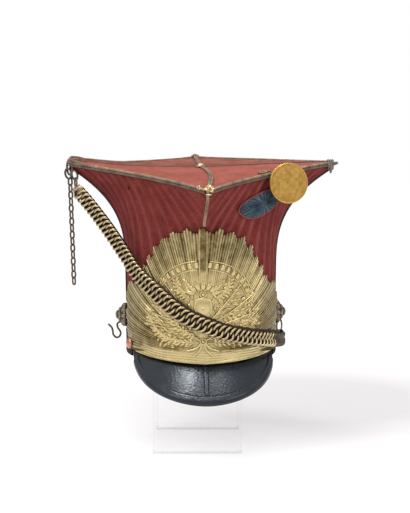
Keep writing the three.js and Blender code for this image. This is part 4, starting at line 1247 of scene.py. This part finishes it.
def link_run(shape, top, direction, count, first_side):
    along = unit(np.asarray(direction, float))
    sides = [np.asarray(first_side, float)]
    sides.append(unit(np.cross(along, sides[0])))
    for i in range(count):
        centre = top + along * (LINK["length"] / 2 + i * LINK["pitch"])
        long, wide = LINK["length"] / 2 - LINK["wire"], sides[i % 2] * (LINK["width"] / 2 - LINK["wire"])
        turn = full_turn(44)[:, None]
        pinch = 1 - 0.14 * np.abs(np.sin(turn)) ** 3
        ring = centre + np.cos(turn) * along * long + np.sin(turn) * wide * pinch
        sweep(shape, ring, np.cross(along, wide), circle(LINK["wire"], 10), 0.55, True)


def small_chains():
    x = 3 - BOARD_REACH
    foot = np.array([x, 0, board_top(x, 0) - CORNER_RING_DROP])
    rise = 1 + 5 * GAP + 2 * LINK["wire"]
    shape = Shape()
    down = unit(np.array([0.03, 0, -1]))
    top = foot + [0, 1.5, rise] + LINK["pitch"] * down
    link_run(shape, top, down, HANGING_LINKS - 1, [0.77, 0.64, 0.023])
    wire_ring(shape, foot + [-1.6, -0.6, 1.2], [0.9, 0, -5.6], [3.4, -1.4, 0.5], 1.2, 48, 12, 0.45)
    piece("thin_chain", shape, IRON, ["hanging_chain"])
    shape = Shape()
    ring = foot + [5.6, -3.2, -0.4]
    wire_ring(shape, ring, [1.4, -0.2, -5.2], [3.0, -1.6, 0.9], 1.15, 48, 12, 0.45)
    low = ring + [1.2, -0.2, -4.2]
    tab = chin_points()[0] + [0.4, -0.6, -1.2]
    wire_ring(shape, (low + tab) / 2, 0.62 * (tab - low), [1.2, -2.2, 0], 1.0, 44, 10, 0.5)
    piece("tab_links", shape, IRON, ["strap_links"])


# Cockade and disc


def cockade_point(share, turn, distance):
    """A point over the ribs, from its share of the cockade's blunt oval and the turn round it."""
    a, b = share * blunt(np.cos(turn)), share * blunt(np.sin(turn))
    along, share = 0.46 + a * 0.19 - b * 0.075, 0.868 + a * 0.038 + b * 0.05
    step = 0.004
    point = face_point(0, along, share)
    sideways = face_point(0, along + step, share) - point
    upwards = face_point(0, along, share + step) - point
    return point + unit(np.cross(sideways, upwards)) * (RIB_HEIGHT + distance)[..., None]


def cockade():
    turn = full_turn(320)[None]
    pleat = 0.5 + 0.5 * np.cos(32 * turn)
    share = column(0.02, 0.12, 0.3, 0.5, 0.7, 0.86, 0.95, 0.985, 0.985, 0.8, 0.4, 0.02)
    height = column(2.7, 2.7, 2.5, 2.3, 2.0, 1.7, 1.3, 0.9, 0.2, 0.0, 0.0, 0.0)
    fold = np.where(height > 0.5, 0.75 * pleat * smoothstep(share, 0.08, 0.3), 0.0)
    rim = share * (1 + 0.03 * (pleat - 0.5) * (share > 0.8))
    # Painted shade in the pleat valleys and a painted highlight on their crests
    shade = np.where(height > 0.5, 0.02 + 0.98 * pleat**1.5, 0.3)
    shape = Shape(cockade_point(rim, turn, 0.5 + height + fold), shade)
    piece("pleated_cockade", shape, RIBBON, ["cockade"])
    edge = np.linspace(0, 2 * np.pi, 160)[:, None]
    path = cockade_point(1.03, edge, 1.1 + 0 * edge)[:, 0]
    shape = Shape()
    rope(shape, path, facing(math.radians(45)), 1.15, 3.0)
    piece("cockade_edge", shape, CLOTH_EDGE)


DISC = {"radius": 22.2, "x": 91.1, "y": -69.5, "up": 193.5, "turn": math.radians(15)}


def pompon_disc():
    centre = np.array([DISC["x"], DISC["y"], RIM_Z + DISC["up"]])
    face = facing(DISC["turn"])
    r = DISC["radius"]
    edge = [(1, 0), (0.3, 0.4), (0, 1.1), (0, 3.4), (0.2, 4.1), (0.55, 4.4), (0.95, 4.35)]
    edge += [(1.3, 4.15), (1.9, 4.2), (5, 4.5), (10, 4.95), (16, 5.3)]
    profile = [(0.4, 0), *((r - inward, up) for inward, up in edge), (0.4, 5.45)]
    shades = [0.2, 0.2, 0.4, 0.6, 0.8, 1.1, 1.2, 1.0, 0.4, 0.5, 0.6, 0.6, 0.6, 0.6]
    shape = lathe(profile, 96, centre, face, shades)
    piece("gilt_disc", shape, GILT, ["pompon_disc"], 40)
    inward = around(QUARTER / 2, -1.0, 0.0)
    start = centre - 1.4 * face
    angle = math.atan2(start[0], -start[1])
    wall = crown_radius(angle, start[2]) + RIB_HEIGHT + GAP
    length = (math.hypot(start[0], start[1]) - wall) * math.cos(angle - QUARTER / 2) - GAP
    profile = [(0.2, 0), (3.2, 0), (3.2, 0.8), (2.0, 1.4)]
    profile += [(1.8, length - 1.4), (3.0, length - 0.6), (3.0, length), (0.2, length)]
    shape = lathe(profile, 28, start, inward, 0.5)
    piece("disc_post", shape, GILT, ["disc_stem"])
    shape = Shape()
    for at, long, wide in ((0.49, 6.0, 3.6), (0.53, 4.2, 2.2)):
        edge = board_edge(0, at)
        run = unit(board_edge(0, at + 0.01) - edge)
        loop = oval(edge + 4.5 * np.cross(UP, run), long * run, wide * np.cross(UP, run), 60)
        loop[:, 2] = board_top(loop[:, 0], loop[:, 1]) + 1.5
        rope(shape, np.concatenate([loop, loop[:1]]), UP, 1.1, 4.0)
    piece("disc_cord", shape, CORD)


# Stand, stage and camera


def stand():
    node = bpy.data.objects["stand"]
    node.data.materials.clear()
    node.data.materials.append(clear_sheet())
    node.data.materials.append(polished_edge())
    bevel = node.modifiers.new("soft_edges", "BEVEL")
    bevel.width = 0.6 * MM
    bevel.segments = 3
    bevel.material = 1
    bevel.limit_method = "ANGLE"


def stage():
    mesh = bpy.data.meshes.new("floor")
    half = 8.0
    below = 0.3 * MM
    corners = [(x * half, y * half, -below) for x, y in ((-1, -1), (1, -1), (1, 1), (-1, 1))]
    mesh.from_pydata(corners, [], [(0, 1, 2, 3)])
    floor = bpy.data.objects.new("floor", mesh)
    bpy.context.scene.collection.objects.link(floor)
    paper = Finish("pale_floor", Roughness=0.9, Emission_Color=(1, 0.99, 0.99, 1), Specular_IOR_Level=0.0)
    paper.color(paper.ramp(paper.noise(3, 2), [(0.3, (0.26, 0.25, 0.25)), (0.7, (0.28, 0.275, 0.275))]))
    # The floor glows, less near this point behind and to the right of the cap: a painted shadow
    shadow = (0.15, 0.25, 0.0)
    paper.link("Emission Strength", paper.span(paper.distance(shadow), 0.15, 0.37, 0.5, 0.86))
    mesh.materials.append(paper.material)
    bpy.context.scene.world = studio()


def studio():
    """Light that comes mostly from above and the left, before a white backdrop."""
    world = bpy.data.worlds.new("studio")
    world.use_nodes = True
    nodes = Nodes(world.node_tree)
    way = nodes.node("ShaderNodeTexCoord").outputs["Generated"]
    above_left = unit(np.array([-0.4, -0.4, 0.83]))
    towards = nodes.node("ShaderNodeVectorMath", {0: way, 1: above_left}, operation="DOT_PRODUCT")
    glow = nodes.span(towards.outputs["Value"], -0.6, 1.0, 0.4, 1.15)
    soft = nodes.node("ShaderNodeBackground", {"Strength": glow})
    white = world.node_tree.nodes["Background"]
    white.inputs["Color"].default_value = (1, 1, 1, 1)
    seen = nodes.node("ShaderNodeLightPath").outputs["Is Camera Ray"]
    both = nodes.node("ShaderNodeMixShader", {0: seen, 1: soft.outputs[0], 2: white.outputs[0]})
    world.node_tree.links.new(both.outputs[0], world.node_tree.nodes["World Output"].inputs["Surface"])
    return world


def area_light(name, place, aim, size, power):
    data = bpy.data.lights.new(name, "AREA")
    data.shape = "RECTANGLE"
    data.size, data.size_y = size
    data.energy = power
    light = bpy.data.objects.new(name, data)
    light.location = place
    bpy.context.scene.collection.objects.link(light)
    direction = unit(np.array(aim, float) - np.array(place, float))
    light.rotation_euler = (math.acos(-direction[2]), 0, math.atan2(direction[0], -direction[1]) + math.pi)


def lights():
    area_light("key", (-1.3, -1.3, 1.9), (0, 0, 0.2), (1.0, 1.0), 13)
    area_light("overhead", (-0.36, -0.2, 2.2), (-0.36, -0.18, 0.2), (0.5, 0.6), 22)
    area_light("overhead_right", (0.4, -0.22, 2.2), (0.4, -0.2, 0.2), (0.5, 0.6), 7)
    area_light("fill", (1.5, -1.2, 1.4), (0, 0, 0.25), (1.2, 1.2), 11)


def camera():
    turn, distance, height = math.radians(-2.8), 1.6, 0.3493
    focal_px, frame_px, sensor = 1411, 513, 36
    tilt, aside = math.radians(4.857), math.atan(4.1 / focal_px)
    data = bpy.data.cameras.new("camera")
    data.sensor_width = sensor
    data.lens = focal_px * sensor / frame_px
    obj = bpy.data.objects.new("camera", data)
    obj.location = (distance * math.sin(turn), -distance * math.cos(turn), height)
    obj.rotation_euler = (QUARTER - tilt, 0, turn - aside)
    bpy.context.scene.collection.objects.link(obj)
    bpy.context.scene.camera = obj


crown()
board()
edge_cords()
top_cords()
corner_cords()
board_trim()
plate()
plate_relief()
rivet()
peak()
peak_binding()
peak_seam()
front_rim()
head_band()
bosses()
side_fittings()
chin_strap()
curb_chain()
small_chains()
cockade()
pompon_disc()
stand()
stage()
lights()
camera()
bpy.context.scene.view_settings.view_transform = "Standard"
